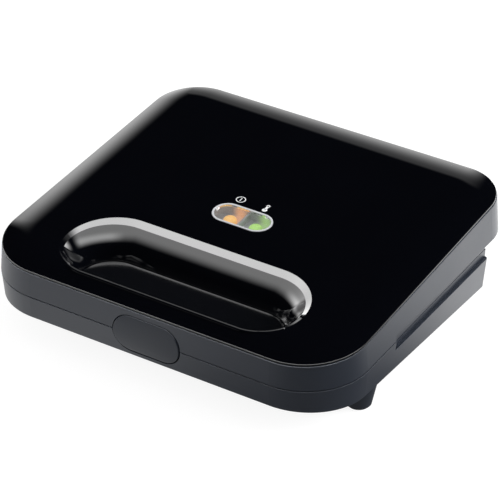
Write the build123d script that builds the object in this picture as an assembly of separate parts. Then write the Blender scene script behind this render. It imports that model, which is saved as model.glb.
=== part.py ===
from build123d import *

import math
import os

# A compact two-slice panini press, closed. Millimetres, +Z up. The origin is on the table under the
# middle of the press, -Y is the front with the latch, +X is the right-hand side from the front.

# ---- overall form, built round the cooking plates
PLATE_WIDTH = 210.0       # two slices of bread side by side
PLATE_DEPTH = 106.0
SIDE_MARGIN = 13.0        # plate to the widest level of the casing
RECESS_LIP = 11.75        # casing to the handle recess, at the front
RECESS_DEPTH = 57.5       # mouth of the handle recess, front to back
RECESS_TO_PLATE = 4.5
REAR_MARGIN = 38.25       # plate to the rear of the lid
SEAM_Z = 34.0             # height of the parting line over the table
SEAM_GAP = 0.6            # open line between the lid and the base
FRONT_RADIUS = 39.2
REAR_RADIUS = 31.0
DRAFT = 4.6               # degrees that both casings narrow away from the parting line
WALL = 2.6
LID_HEIGHT = 19.85        # parting line to the lid rim at y = 0
RIM_SLOPE = 0.044         # the rim climbs this much per mm towards the rear
BOTTOM_MID = 10.65        # height of the base's lower edge at y = 0
BOTTOM_SLOPE = -0.082
LATCH_PROUD = 0.5         # latch face in front of the casings
FIT = 0.3                 # clearance between parts that are set into one another
EDGE = 0.45               # soft outer edges of the casings
SEAM_EDGE = 0.25          # and along the parting line

FRONT_MARGIN = RECESS_LIP + RECESS_DEPTH + RECESS_TO_PLATE
WIDTH = PLATE_WIDTH + 2 * SIDE_MARGIN                  # at the parting line, the widest level
DEPTH = FRONT_MARGIN + PLATE_DEPTH + REAR_MARGIN       # front to back of the lid, at the same level
Y_FRONT = LATCH_PROUD / 2 - DEPTH / 2
Y_REAR = Y_FRONT + DEPTH
PLATE_FRONT = Y_FRONT + FRONT_MARGIN
PLATE_REAR = PLATE_FRONT + PLATE_DEPTH
PLATE_Y = (PLATE_FRONT + PLATE_REAR) / 2
RIM_MID = SEAM_Z + LID_HEIGHT

# ---- side groove and the tubs that hold the plates
GROOVE_LEAD = 2.5         # the groove and the tubs begin this far in front of the plates
GROOVE_DEPTH = 3.0        # the tub walls stand this far inside the casings
GROOVE_RISE = 3.1         # parting line to the lid side of the groove at y = 0
GROOVE_DROP = 7.2         # and to its base side
GROOVE_SLOPE = -0.0216
TUB_DROP = 3.75           # the tubs part this far under the parting line of the casings
TUB_GAP = 0.5
BASE_TAIL = 5.0           # plates to the rear wall of the base, under the overhanging lid
BASE_REAR_RADIUS = 3.0
DECK = 4.5                # thickness of the tub deck around a plate
FRONT_DECK = 1.8          # thickness of the decks in front of the plates

# ---- cooking plates
PLATE_RADIUS = 14.0
PLATE_RIM = 2.0           # thickness of the rim flange
RIM_STEP = 2.6            # width of the rim flange that lies on the deck
RIM_DROP = 0.1            # plate rim behind the deck face
FIELD_MARGIN = 6.0        # plate edge to the cooking field
FIELD_DROP = 3.4          # rim to the valleys between the ribs
RIB_HEIGHT = 1.5
RIB_PITCH = 9.0
RIB_WIDTH = 3.4
RIB_TOP = 1.6
PLATE_FLOOR = 2.6         # metal under the valleys

# ---- heating
ELEMENT_DIAMETER = 6.0
ELEMENT_INSET = (25.0, 22.0)      # plate edge to the middle of the tube, at the sides and ends
ELEMENT_BEND = 11.0
ELEMENT_ENTRY = 16.0      # half distance between the two cold ends
ELEMENT_END_INSET = 8.0   # plate edge to the end of the tube
TERMINAL_DIAMETER = 2.4
TERMINAL_LENGTH = 8.0
NEAR = 0.15               # air between parts that lie against one another
SHEET = 0.6               # reflector metal
REFLECTOR_INSET = (8.0, 6.5)
REFLECTOR_RADIUS = 6.0
REFLECTOR_AIR = 0.6       # under the element
BOSS_DIAMETER = 8.0
BOSS_INSET = (17.0, 15.0)
SCREW_DIAMETER = 3.0
SCREW_HEAD = 6.6
SCREW_HEAD_HEIGHT = 1.3
SCREW_REACH = 10.0        # cover and panel screws, inside their posts
SCREW_SPARE = 1.0         # depth of a screw hole past its screw
THERMOSTAT_DIAMETER = 16.0
THERMOSTAT_HEIGHT = 8.5
THERMOSTAT_CLEAR = 2.0    # reflector hole round it
FUSE_DIAMETER = 4.5
FUSE_LENGTH = 22.0

# ---- gloss lid panel
PANEL_GAP = 0.6           # shadow line over the rim
PANEL_REVEAL = 0.3        # panel edge inside the rim's outer edge
PANEL_LIP = 0.8           # upright edge
ROLL_RISE = 3.8           # circular roll, from the lip up to the flat top
ROLL_INSET = 18.0
ROLL_LEVELS = 6
PANEL_WALL = 2.4
TONGUE = 1.6              # ring that centres the panel inside the rim
TONGUE_DEPTH = 3.0

# ---- handle recess
RECESS_SIDE = 40.0        # casing to the recess, at the sides
RECESS_RADIUS_FRONT = 26.0
RECESS_RADIUS_BACK = 31.0
FRONT_TIGHTENING = 0.43   # the corner radii shrink this much per mm of run
BACK_TIGHTENING = 0.75
CHAMFER_DROP = 2.3        # flat band round the mouth
CHAMFER_RUN = 4.2
BOWL_RUN = 16.0           # mouth to floor, along the back
BOWL_END_RUN = 13.0       # the same at the two ends
BOWL_LIP_RUN = 3.0        # and along the front
BOWL_LEVELS = 4
BOWL_FLOOR_RISE = 3.3     # parting line to the bowl's open lower edge
BOWL_WALL = 1.8
WELL_RISE = 0.9           # floor pad over the bowl's edge
WELL_GAP = 0.6

# ---- indicator window
LENS_TO_RECESS = 31.8     # middle of the window to the back of the recess
LENS_LENGTH = 38.4
LENS_WIDTH = 18.4
BEZEL = 1.1
LENS_THICKNESS = 2.2
TRAY_DEPTH = 6.0
TRAY_WALL = 1.2
TRAY_FLANGE = 2.5         # under the panel, round the opening
LAMP_X = 8.6
LAMP_DIAMETER = 8.0
BOARD = 1.6

# ---- latch
LATCH_WIDTH = 43.6
LATCH_HEIGHT = 23.0
LATCH_GAP = 0.6
LATCH_CROWN = 50.0        # radius of the face, seen from the side
LATCH_EDGE = 0.6
LATCH_THICKNESS = 3.0
LATCH_PIN = 2.4
LATCH_PIN_RISE = 3.5      # pin over the parting line
LATCH_PIN_DEPTH = 6.15    # and behind the front
LATCH_BARREL = 5.4
LATCH_HALF = 13.0         # half length of the barrel
LUG = 3.0                 # thickness of the lugs that hold the pin
LATCH_DEPTH = 3.85        # depth of its opening behind the front
NOSE_DROP = 9.4           # lower end of the hook under the parting line
NOSE_HEIGHT = 2.0
NOSE_REACH = 2.6          # hook in front of the pin, towards the keeper
ARM_THICKNESS = 2.0
ARM_HALF = 9.0
KEEPER = 2.2              # thickness of the rib that the hook goes under
KEEPER_DEPTH = 3.7
SPRING_WIRE = 0.7
SPRING_HALF = 3.0
RUN = 0.05                # radial play of a turning pin
PRESS = 0.02              # radial play of a pin in its seat

# ---- hinge
HINGE_BEHIND = 14.0       # axis behind the rear wall of the base
HINGE_DROP = 1.0          # and under the parting line
HINGE_INSET = 38.0        # ears inside the casing
EAR_THICKNESS = 8.0
CHEEK_THICKNESS = 4.0
HINGE_SIDE = 0.4          # play beside the ear
KNUCKLE = 13.0            # outside diameter round the hinge pin
HINGE_PIN = 4.0
PIN_HEAD = 7.0
PIN_HEAD_LENGTH = 1.4

# ---- underside
COVER = 2.2
VENT_LENGTH = 30.0
VENT_WIDTH = 3.2
VENT_PITCH = 8.0
VENT_COUNT = 9
VENT_OFFSET = -10.0       # from the middle of the plates
POST_DIAMETER = 7.0
FRONT_COVER_POST = (36.0, 26.75)  # inside the casing, and behind the front
REAR_COVER_POST = (10.6, 37.0)    # inside the casing, and before the rear of the plates
FRONT_PANEL_POST = (14.0, 42.75)  # beside the recess, and behind the front
REAR_PANEL_POST = (8.8, 21.0)
FRONT_FOOT_INSET = (11.7, 51.25)
REAR_FOOT_INSET = (18.0, 13.0)
FOOT_TAPER = 11.0         # degrees
FOOT_RADIUS = 7.4         # at the lower end
FOOT_LIFT = 1.1           # pad below the foot
PAD_RADIUS = 6.4
PAD_THICKNESS = 2.0

# ---- mains entry
GLAND_X = -52.0
GLAND_Z = 17.0
GLAND_BODY = 12.0
GLAND_FLANGE = 17.0
GLAND_LENGTH = 9.0
GLAND_BORE = 7.0
BLOCK_SIZE = (34.0, 16.0, 9.0)
BLOCK_X = -56.0
BLOCK_FRONT = 42.75       # behind the front

# ---- places that follow from the sizes above
GROOVE_FRONT = PLATE_FRONT - GROOVE_LEAD
GROOVE_TOP = SEAM_Z + GROOVE_RISE
GROOVE_FLOOR = SEAM_Z - GROOVE_DROP
TUB_SEAM = SEAM_Z - TUB_DROP
BASE_REAR = PLATE_REAR + BASE_TAIL
ELEMENT_HALF_LENGTH = PLATE_WIDTH / 2 - ELEMENT_INSET[0]
ELEMENT_HALF_DEPTH = PLATE_DEPTH / 2 - ELEMENT_INSET[1]
ELEMENT_END = PLATE_DEPTH / 2 - ELEMENT_END_INSET
REFLECTOR_HALF_WIDTH = PLATE_WIDTH / 2 - REFLECTOR_INSET[0]
REFLECTOR_HALF_DEPTH = PLATE_DEPTH / 2 - REFLECTOR_INSET[1]
BOSS_X = PLATE_WIDTH / 2 - BOSS_INSET[0]
BOSS_Y = PLATE_DEPTH / 2 - BOSS_INSET[1]
RECESS_HALF = WIDTH / 2 - RECESS_SIDE
RECESS_FRONT = Y_FRONT + RECESS_LIP
RECESS_BACK = RECESS_FRONT + RECESS_DEPTH
BOWL_FLOOR = SEAM_Z + BOWL_FLOOR_RISE
LENS_Y = RECESS_BACK + LENS_TO_RECESS
LATCH_PIN_Y = Y_FRONT + LATCH_PIN_DEPTH
LATCH_PIN_Z = SEAM_Z + LATCH_PIN_RISE
LATCH_BACK = Y_FRONT + LATCH_DEPTH
NOSE_Z = SEAM_Z - NOSE_DROP
HINGE_X = WIDTH / 2 - HINGE_INSET
HINGE_Y = BASE_REAR + HINGE_BEHIND
HINGE_Z = SEAM_Z - HINGE_DROP
VENT_Y = PLATE_Y + VENT_OFFSET
COVER_POSTS = ((WIDTH / 2 - FRONT_COVER_POST[0], Y_FRONT + FRONT_COVER_POST[1]),
               (WIDTH / 2 - REAR_COVER_POST[0], PLATE_REAR - REAR_COVER_POST[1]))
PANEL_POSTS = ((RECESS_HALF + FRONT_PANEL_POST[0], Y_FRONT + FRONT_PANEL_POST[1]),
               (WIDTH / 2 - REAR_PANEL_POST[0], PLATE_REAR - REAR_PANEL_POST[1]))
FRONT_FOOT = (WIDTH / 2 - FRONT_FOOT_INSET[0], Y_FRONT + FRONT_FOOT_INSET[1])
REAR_FOOT = (WIDTH / 2 - REAR_FOOT_INSET[0], PLATE_REAR - REAR_FOOT_INSET[1])
BLOCK_PLACE = (BLOCK_X, Y_FRONT + BLOCK_FRONT)

RIM = Plane((0, 0, RIM_MID), x_dir=(1, 0, 0), z_dir=(0, -RIM_SLOPE, 1))
BOTTOM = Plane((0, 0, BOTTOM_MID), x_dir=(1, 0, 0), z_dir=(0, -BOTTOM_SLOPE, 1))
GROOVE_ROOF = Plane((0, 0, GROOVE_TOP), x_dir=(1, 0, 0), z_dir=(0, -GROOVE_SLOPE, 1))
GROOVE_LEDGE = Plane((0, 0, GROOVE_FLOOR), x_dir=(1, 0, 0), z_dir=(0, -GROOVE_SLOPE, 1))
FAR = 300.0               # longer than anything here, for cutting bodies

LID_LEVEL = SEAM_Z + SEAM_GAP / 2
BASE_LEVEL = SEAM_Z - SEAM_GAP / 2
LID_TUB = TUB_SEAM + TUB_GAP / 2
BASE_TUB = TUB_SEAM - TUB_GAP / 2
TUB_HALF = WIDTH / 2 - GROOVE_DEPTH
PLATE_TOP = BASE_TUB - RIM_DROP            # rim of the lower plate
PLATE_UNDER = LID_TUB + RIM_DROP           # rim of the upper plate
PLATE_STACK = FIELD_DROP + PLATE_FLOOR     # rim to the back of a plate
PANEL_TOP = PANEL_GAP + PANEL_LIP + ROLL_RISE
SCREW_HOLE = SCREW_REACH + SCREW_SPARE
SIDES = (-1, 1)


# ---- shared shapes
def rounded_plan(half_width, y_front, y_rear, radius_front, radius_rear):
    """Rounded rectangle, with one radius in front and another behind."""
    sheet = Pos(0, (y_front + y_rear) / 2) * Rectangle(2 * half_width, y_rear - y_front)
    sheet = fillet(sheet.vertices().group_by(Axis.Y)[0], radius_front)
    return fillet(sheet.vertices().group_by(Axis.Y)[-1], radius_rear)


def casing_plan(inset, y_rear, radius_rear):
    """Plan of a casing at the parting line, moved inwards by the inset."""
    return rounded_plan(WIDTH / 2 - inset, Y_FRONT + inset, y_rear - inset,
                        FRONT_RADIUS - inset, max(radius_rear - inset, 1.0))


def drafted(inset, height, y_rear=Y_REAR, radius_rear=REAR_RADIUS):
    """Body that narrows upwards from the parting line."""
    return Pos(0, 0, SEAM_Z) * extrude(casing_plan(inset, y_rear, radius_rear), height, taper=DRAFT)


def drafted_down(inset, height):
    """Body of the base that narrows downwards from the parting line."""
    body = extrude(casing_plan(inset, BASE_REAR, BASE_REAR_RADIUS), height, taper=DRAFT)
    return Pos(0, 0, SEAM_Z) * mirror(body, about=Plane.XY)


def above(body, plane):
    """The part of a body on the upper side of a plane."""
    return split(body, bisect_by=plane, keep=Keep.TOP)


def below(body, plane):
    """The part of a body on the lower side of a plane."""
    return split(body, bisect_by=plane, keep=Keep.BOTTOM)


def outer_edges(body, plane):
    """Long outer edges of a casing, at the sides, that lie in a plane."""
    return [edge for edge in body.edges()
            if abs(edge.center().X) > TUB_HALF + GROOVE_DEPTH / 4 and edge.length > GROOVE_DEPTH
            and abs(plane.to_local_coords(edge.center()).Z) < 0.01]


def level(z):
    """Horizontal plane at a height."""
    return Plane((0, 0, z))


def block(x0, x1, y0, y1, z0, z1):
    """Box between two corners."""
    return Pos((x0 + x1) / 2, (y0 + y1) / 2, (z0 + z1) / 2) * Box(x1 - x0, y1 - y0, z1 - z0)


def rod(x, y, z0, z1, diameter):
    """Upright cylinder."""
    return Pos(x, y, (z0 + z1) / 2) * Cylinder(diameter / 2, z1 - z0)


def bar(x0, x1, y, z, diameter):
    """Cylinder along X."""
    return Pos((x0 + x1) / 2, y, z) * Rot(0, 90, 0) * Cylinder(diameter / 2, x1 - x0)


def stadium(length, width, depth, z):
    """Upright prism with round ends, its long axis along X, standing on z."""
    return Pos(0, 0, z) * extrude(SlotOverall(length, width), depth)


def all_of(pieces):
    """Several separate or touching solids as one shape."""
    return Part() + list(pieces)


# ---- plates and their heating, drawn with the cooking side up and the rim at z = 0
def plate():
    """Die-cast plate with a rim flange, upright ribs and screw bosses on its back."""
    half_w, half_d = PLATE_WIDTH / 2, PLATE_DEPTH / 2
    pan_w, pan_d = half_w - RIM_STEP, half_d - RIM_STEP
    body = Pos(0, 0, -PLATE_RIM) * extrude(
        rounded_plan(half_w, -half_d, half_d, PLATE_RADIUS, PLATE_RADIUS), PLATE_RIM)
    pan_radius = PLATE_RADIUS - RIM_STEP
    body += Pos(0, 0, -PLATE_STACK) * extrude(
        rounded_plan(pan_w, -pan_d, pan_d, pan_radius, pan_radius), PLATE_STACK)
    field_w, field_d = half_w - FIELD_MARGIN, half_d - FIELD_MARGIN
    field_radius = PLATE_RADIUS - FIELD_MARGIN
    pocket = extrude(rounded_plan(field_w, -field_d, field_d, field_radius, field_radius),
                     FIELD_DROP, taper=12)
    body -= mirror(pocket, about=Plane.XY)
    rib = extrude(Plane.XZ.offset(field_d - 3) * Pos(0, -FIELD_DROP) * Polygon(
        (-RIB_WIDTH / 2, 0), (RIB_WIDTH / 2, 0), (RIB_TOP / 2, RIB_HEIGHT), (-RIB_TOP / 2, RIB_HEIGHT),
        align=None), -2 * (field_d - 3))
    count = 2 * int((field_w - RIB_PITCH / 2) / RIB_PITCH) + 1
    body += [Pos((i - (count - 1) / 2) * RIB_PITCH, 0, 0) * rib for i in range(count)]
    boss_end = -PLATE_STACK - boss_height()
    body += [rod(sx * BOSS_X, sy * BOSS_Y, boss_end, -PLATE_STACK + 0.5, BOSS_DIAMETER)
             for sx in SIDES for sy in SIDES]
    body -= [rod(sx * BOSS_X, sy * BOSS_Y, boss_end - 1, -PLATE_STACK, SCREW_DIAMETER + 2 * NEAR)
             for sx in SIDES for sy in SIDES]
    return body


def boss_height():
    """Plate back to the reflector, which the bosses carry."""
    return NEAR + ELEMENT_DIAMETER + REFLECTOR_AIR


def element():
    """Tubular heating element in one rectangular loop, with two terminal pins."""
    z = -PLATE_STACK - NEAR - ELEMENT_DIAMETER / 2
    path = FilletPolyline(
        (-ELEMENT_ENTRY, ELEMENT_END, z), (-ELEMENT_ENTRY, ELEMENT_HALF_DEPTH, z),
        (-ELEMENT_HALF_LENGTH, ELEMENT_HALF_DEPTH, z), (-ELEMENT_HALF_LENGTH, -ELEMENT_HALF_DEPTH, z),
        (ELEMENT_HALF_LENGTH, -ELEMENT_HALF_DEPTH, z), (ELEMENT_HALF_LENGTH, ELEMENT_HALF_DEPTH, z),
        (ELEMENT_ENTRY, ELEMENT_HALF_DEPTH, z), (ELEMENT_ENTRY, ELEMENT_END, z), radius=ELEMENT_BEND)
    tube = sweep(Plane((-ELEMENT_ENTRY, ELEMENT_END, z), z_dir=(0, -1, 0))
                 * Circle(ELEMENT_DIAMETER / 2), path=path)
    for side in SIDES:
        pin = Pos(side * ELEMENT_ENTRY, ELEMENT_END + TERMINAL_LENGTH / 2, z)
        tube += pin * Rot(90, 0, 0) * Cylinder(TERMINAL_DIAMETER / 2, TERMINAL_LENGTH)
    return tube


def reflector(centre_hole):
    """Sheet tray behind the element, with slots for the cold ends and holes for the screws."""
    floor = -PLATE_STACK - boss_height()
    tray = block(-REFLECTOR_HALF_WIDTH, REFLECTOR_HALF_WIDTH, -REFLECTOR_HALF_DEPTH,
                 REFLECTOR_HALF_DEPTH, floor - SHEET, -PLATE_STACK - NEAR)
    tray = fillet(tray.edges().filter_by(Axis.Z), REFLECTOR_RADIUS)
    inner = rounded_plan(REFLECTOR_HALF_WIDTH - SHEET, SHEET - REFLECTOR_HALF_DEPTH,
                         REFLECTOR_HALF_DEPTH - SHEET, REFLECTOR_RADIUS - SHEET, REFLECTOR_RADIUS - SHEET)
    tray -= Pos(0, 0, floor) * extrude(inner, FAR)
    slot = ELEMENT_DIAMETER / 2 + 1
    tray -= [block(side * ELEMENT_ENTRY - slot, side * ELEMENT_ENTRY + slot, REFLECTOR_HALF_DEPTH - 3,
                   REFLECTOR_HALF_DEPTH + 1, floor + NEAR, 0) for side in SIDES]
    tray -= [rod(sx * BOSS_X, sy * BOSS_Y, floor - 2, floor + 2, SCREW_DIAMETER + 2 * NEAR)
             for sx in SIDES for sy in SIDES]
    if centre_hole:
        tray -= rod(0, 0, floor - 2, floor + 2, centre_hole)
    return tray


def plate_screws():
    """Four screws through the reflector into the plate bosses."""
    seat = -PLATE_STACK - boss_height() - SHEET
    return all_of(rod(sx * BOSS_X, sy * BOSS_Y, seat - SCREW_HEAD_HEIGHT, seat, SCREW_HEAD)
                  + rod(sx * BOSS_X, sy * BOSS_Y, seat, -PLATE_STACK - 0.5, SCREW_DIAMETER)
                  for sx in SIDES for sy in SIDES)


LOWER = Pos(0, PLATE_Y, PLATE_TOP)
UPPER = Pos(0, PLATE_Y, PLATE_UNDER) * Rot(0, 180, 0)


# ---- lid
def rim_inset(y):
    """How far the drafted casing has come in where it meets the rim plane."""
    return math.tan(math.radians(DRAFT)) * (RIM_MID + RIM_SLOPE * y - SEAM_Z)


def panel_plan(inset):
    """Outline of the lid at the rim, moved inwards by the inset."""
    front, rear = rim_inset(Y_FRONT), rim_inset(Y_REAR)
    y0, y1 = Y_FRONT + front + inset, Y_REAR - rear - inset
    x0, x1 = WIDTH / 2 - front - inset, WIDTH / 2 - rear - inset
    sheet = Polygon((-x0, y0), (x0, y0), (x1, y1), (-x1, y1), align=None)
    sheet = fillet(sheet.vertices().group_by(Axis.Y)[0], FRONT_RADIUS - front - inset)
    return fillet(sheet.vertices().group_by(Axis.Y)[-1], REAR_RADIUS - rear - inset)


def recess_plan(run, grow=0.0):
    """Outline of the handle recess where its wall has come in by the run along the back."""
    share = run / BOWL_RUN
    front, back = RECESS_FRONT + BOWL_LIP_RUN * share, RECESS_BACK - run
    radius_back = RECESS_RADIUS_BACK - BACK_TIGHTENING * run
    radius_front = RECESS_RADIUS_FRONT - FRONT_TIGHTENING * run
    room = min(1, (back - front - NEAR) / (radius_back + radius_front))
    return rounded_plan(RECESS_HALF - BOWL_END_RUN * share + grow, front - grow, back + grow,
                        radius_front * room + grow, radius_back * room + grow)


def recess_level(depth):
    """Plane of one level: along the panel at the mouth (0), flat at the floor (1)."""
    z = RIM_MID + PANEL_TOP + depth * (BOWL_FLOOR - RIM_MID - PANEL_TOP)
    return Plane((0, 0, z), x_dir=(1, 0, 0), z_dir=(0, -RIM_SLOPE * (1 - depth), 1))


def recess_body(grow, start):
    """Solid of the recess, chamfered at its mouth, then rolling over into a steep wall."""
    crease = CHAMFER_DROP / (RIM_MID + PANEL_TOP - BOWL_FLOOR)
    mouth = [recess_level(start * crease) * recess_plan(start * CHAMFER_RUN, grow),
             recess_level(crease) * recess_plan(CHAMFER_RUN, grow)]
    wall = []
    for i in range(BOWL_LEVELS + 1):
        step = i / BOWL_LEVELS
        run = BOWL_RUN - (BOWL_RUN - CHAMFER_RUN) * (1 - step) ** 1.5
        wall.append(recess_level(crease + (1 - crease) * step) * recess_plan(run, grow))
    return loft(mouth, ruled=True) + loft(wall)


def panel_shell():
    """Rolled panel with its upright lip and centring tongue, drawn on the rim plane."""
    shell = Pos(0, 0, PANEL_GAP) * extrude(panel_plan(PANEL_REVEAL), PANEL_LIP)
    radius = (ROLL_INSET ** 2 + ROLL_RISE ** 2) / (2 * ROLL_RISE)
    levels = []
    for i in range(ROLL_LEVELS + 1):
        turn = math.asin(ROLL_INSET / radius) * (1 - i / ROLL_LEVELS)
        inset = PANEL_REVEAL + ROLL_INSET - radius * math.sin(turn)
        drop = radius * (1 - math.cos(turn))
        levels.append(Pos(0, 0, PANEL_TOP - drop) * panel_plan(inset))
    shell += loft(levels)
    shell -= extrude(panel_plan(ROLL_INSET - 2), PANEL_TOP - PANEL_WALL)
    outer = panel_plan(WALL + FIT)
    inner = panel_plan(WALL + FIT + TONGUE)
    shell += Pos(0, 0, -TONGUE_DEPTH) * extrude(outer - inner, TONGUE_DEPTH + PANEL_GAP + 0.2)
    return shell


def rim_z(y):
    """Height of the rim plane."""
    return RIM_MID + RIM_SLOPE * y


def bottom_z(y):
    """Height of the base's lower edge."""
    return BOTTOM_MID + BOTTOM_SLOPE * y


def panel_seat(y):
    """Underside of the lid where a panel post stands over it."""
    return LID_TUB if y > GROOVE_FRONT else LID_LEVEL


def lid_top_panel():
    """Gloss panel with a rolled edge all round and the handle recess formed in it."""
    panel = RIM * panel_shell()
    panel += recess_body(BOWL_WALL, 0.75)
    panel -= recess_body(0, 0)
    panel -= recess_level(0) * extrude(recess_plan(0), ROLL_RISE)
    panel -= RIM * Pos(0, LENS_Y) * stadium(LENS_LENGTH, LENS_WIDTH, 2 * PANEL_TOP, 0)
    for x, y in PANEL_POSTS:
        deck = DECK if y > GROOVE_FRONT else FRONT_DECK
        under_roll = x > WIDTH / 2 - ROLL_INSET
        root = rim_z(y) + (PANEL_GAP + PANEL_LIP if under_roll else PANEL_TOP - PANEL_WALL + 0.5)
        for side in SIDES:
            foot = panel_seat(y) + deck
            panel += rod(side * x, y, foot, root, POST_DIAMETER)
            panel -= rod(side * x, y, foot - 1, foot + SCREW_HOLE, SCREW_DIAMETER)
    return panel


def handle_well():
    """Satin floor of the recess: a pad inside the bowl on a flange under the bowl's edge."""
    pad = Pos(0, 0, BOWL_FLOOR - 0.5) * extrude(recess_plan(BOWL_RUN, -WELL_GAP), WELL_RISE + 0.5)
    pad = fillet(pad.edges().group_by(Axis.Z)[-1], 0.5)
    flange = Pos(0, 0, LID_LEVEL + FRONT_DECK) * extrude(
        recess_plan(BOWL_RUN, BOWL_WALL), BOWL_FLOOR - LID_LEVEL - FRONT_DECK)
    return pad + flange


def plate_well(face, ledge_side):
    """What a plate takes out of a deck: its pan, and a rebate for its rim flange."""
    half_w, half_d = PLATE_WIDTH / 2 + FIT, PLATE_DEPTH / 2 + FIT
    pan_w, pan_d = half_w - RIM_STEP, half_d - RIM_STEP
    pan = rounded_plan(pan_w, PLATE_Y - pan_d, PLATE_Y + pan_d, PLATE_RADIUS - RIM_STEP,
                       PLATE_RADIUS - RIM_STEP)
    rim = rounded_plan(half_w, PLATE_Y - half_d, PLATE_Y + half_d, PLATE_RADIUS, PLATE_RADIUS)
    reach = PLATE_RIM + RIM_DROP
    start = face if ledge_side > 0 else face - reach
    return Pos(0, 0, face - DECK - 1) * extrude(pan, 2 * DECK + 2) + Pos(0, 0, start) * extrude(rim, reach)


def tub_block(z0, z1, inset=0.0):
    """Block of the tub that surrounds a plate, from one height to another."""
    return Pos(0, 0, z0) * extrude(rounded_plan(
        TUB_HALF - inset, GROOVE_FRONT + TUB_GAP + inset, BASE_REAR - inset, 3.0, 3.0), z1 - z0)


def hinge_plate(x, thickness, outline):
    """Upright plate across X, with its knuckle round the hinge axis."""
    face = Polygon(*outline, align=None) + Pos(HINGE_Y, HINGE_Z) * Circle(KNUCKLE / 2)
    side = Plane((x - thickness / 2, 0, 0), x_dir=(0, 1, 0), z_dir=(1, 0, 0))
    return extrude(side * face, thickness)


def hinge_bore(play):
    """Holes for the two hinge pins."""
    reach = EAR_THICKNESS / 2 + HINGE_SIDE + CHEEK_THICKNESS + 1
    return all_of(bar(side * HINGE_X - reach, side * HINGE_X + reach, HINGE_Y, HINGE_Z,
                      HINGE_PIN + 2 * play) for side in SIDES)


def latch_opening():
    """Round-ended hole through the front walls, wider than the latch by the gap."""
    hole = SlotOverall(LATCH_WIDTH + 2 * LATCH_GAP, LATCH_HEIGHT + 2 * LATCH_GAP)
    return Pos(0, LATCH_BACK, SEAM_Z) * extrude(Plane.XZ * hole, FAR / 2)


def lid_housing():
    """Matt skirt of the lid with its decks, plate tub, latch lugs and hinge cheeks."""
    height = rim_z(Y_REAR) - SEAM_Z + 1
    skirt = above(below(drafted(0, height), RIM), level(LID_LEVEL))
    skirt = fillet(skirt.faces().sort_by(Axis.Z)[-1].edges(), EDGE)
    skirt = fillet(skirt.faces().sort_by(Axis.Z)[0].edges(), SEAM_EDGE)
    inside = drafted(WALL, height + 1)
    skirt -= above(inside, level(LID_LEVEL + FRONT_DECK))
    skirt -= inside & block(-FAR, FAR, GROOVE_FRONT, FAR, 0, FAR)
    skirt -= below(block(-FAR, FAR, GROOVE_FRONT, FAR, 0, FAR), GROOVE_ROOF)
    skirt = fillet(outer_edges(skirt, GROOVE_ROOF), SEAM_EDGE)
    roof = GROOVE_TOP + GROOVE_SLOPE * GROOVE_FRONT + 2.6
    tub = tub_block(LID_TUB, roof) - tub_block(LID_TUB + DECK, roof + 1, inset=2.0)
    flange = drafted(WALL - 0.4, height) & block(-FAR, FAR, GROOVE_FRONT, BASE_REAR, roof - 1.6, roof)
    body = skirt + tub + (flange - tub_block(0, FAR, inset=1.0))
    body -= plate_well(LID_TUB, 1)
    body += lid_cheeks(height)
    body -= latch_opening()
    body += latch_lugs()
    back = LATCH_PIN_Y + LATCH_BARREL / 2 + LATCH_GAP
    body -= block(-LATCH_HALF - FIT, LATCH_HALF + FIT, LATCH_BACK - 0.1, back, 0, LID_LEVEL + FRONT_DECK)
    body -= bar(-LATCH_WIDTH, LATCH_WIDTH, LATCH_PIN_Y, LATCH_PIN_Z, LATCH_PIN + 2 * PRESS)
    body -= hinge_bore(RUN)
    for x, y in PANEL_POSTS:
        for side in SIDES:
            seat = panel_seat(y)
            body -= rod(side * x, y, seat - 1, seat + DECK + 1, SCREW_DIAMETER + 2 * NEAR)
            body -= rod(side * x, y, seat - 1, seat + SCREW_HEAD_HEIGHT / 2, SCREW_HEAD + 2 * NEAR)
    return body


def lid_cheeks(height):
    """Two cheeks on each side of the lid, from the tub to the rear wall, that turn on the pins."""
    low, top = HINGE_Z + KNUCKLE / 2 - 2, HINGE_Z + KNUCKLE
    front, rear = BASE_REAR - 1, Y_REAR - WALL / 2
    half = KNUCKLE / 2
    outline = [(front, low), (HINGE_Y - half, low), (HINGE_Y - half, HINGE_Z), (HINGE_Y + half, HINGE_Z),
               (HINGE_Y + half, low), (rear, low), (rear, top), (front, top)]
    offset = EAR_THICKNESS / 2 + HINGE_SIDE + CHEEK_THICKNESS / 2
    plates = all_of(hinge_plate(side * HINGE_X + turn * offset, CHEEK_THICKNESS, outline)
                    for side in SIDES for turn in SIDES)
    return plates & drafted(0.5, height)


def latch_lugs():
    """Two lugs that stand on the front deck and carry the latch pin."""
    x = LATCH_HALF + FIT
    lug = block(x, x + LUG, LATCH_BACK + FIT, LATCH_PIN_Y + LATCH_BARREL / 2 + FIT, LID_LEVEL,
                LATCH_PIN_Z + LATCH_BARREL / 2 + FIT)
    return lug + mirror(lug, about=Plane.YZ)


def latch_pin():
    """Steel pin through the lugs."""
    half = LATCH_HALF + FIT + LUG
    return bar(-half, half, LATCH_PIN_Y, LATCH_PIN_Z, LATCH_PIN)


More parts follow.
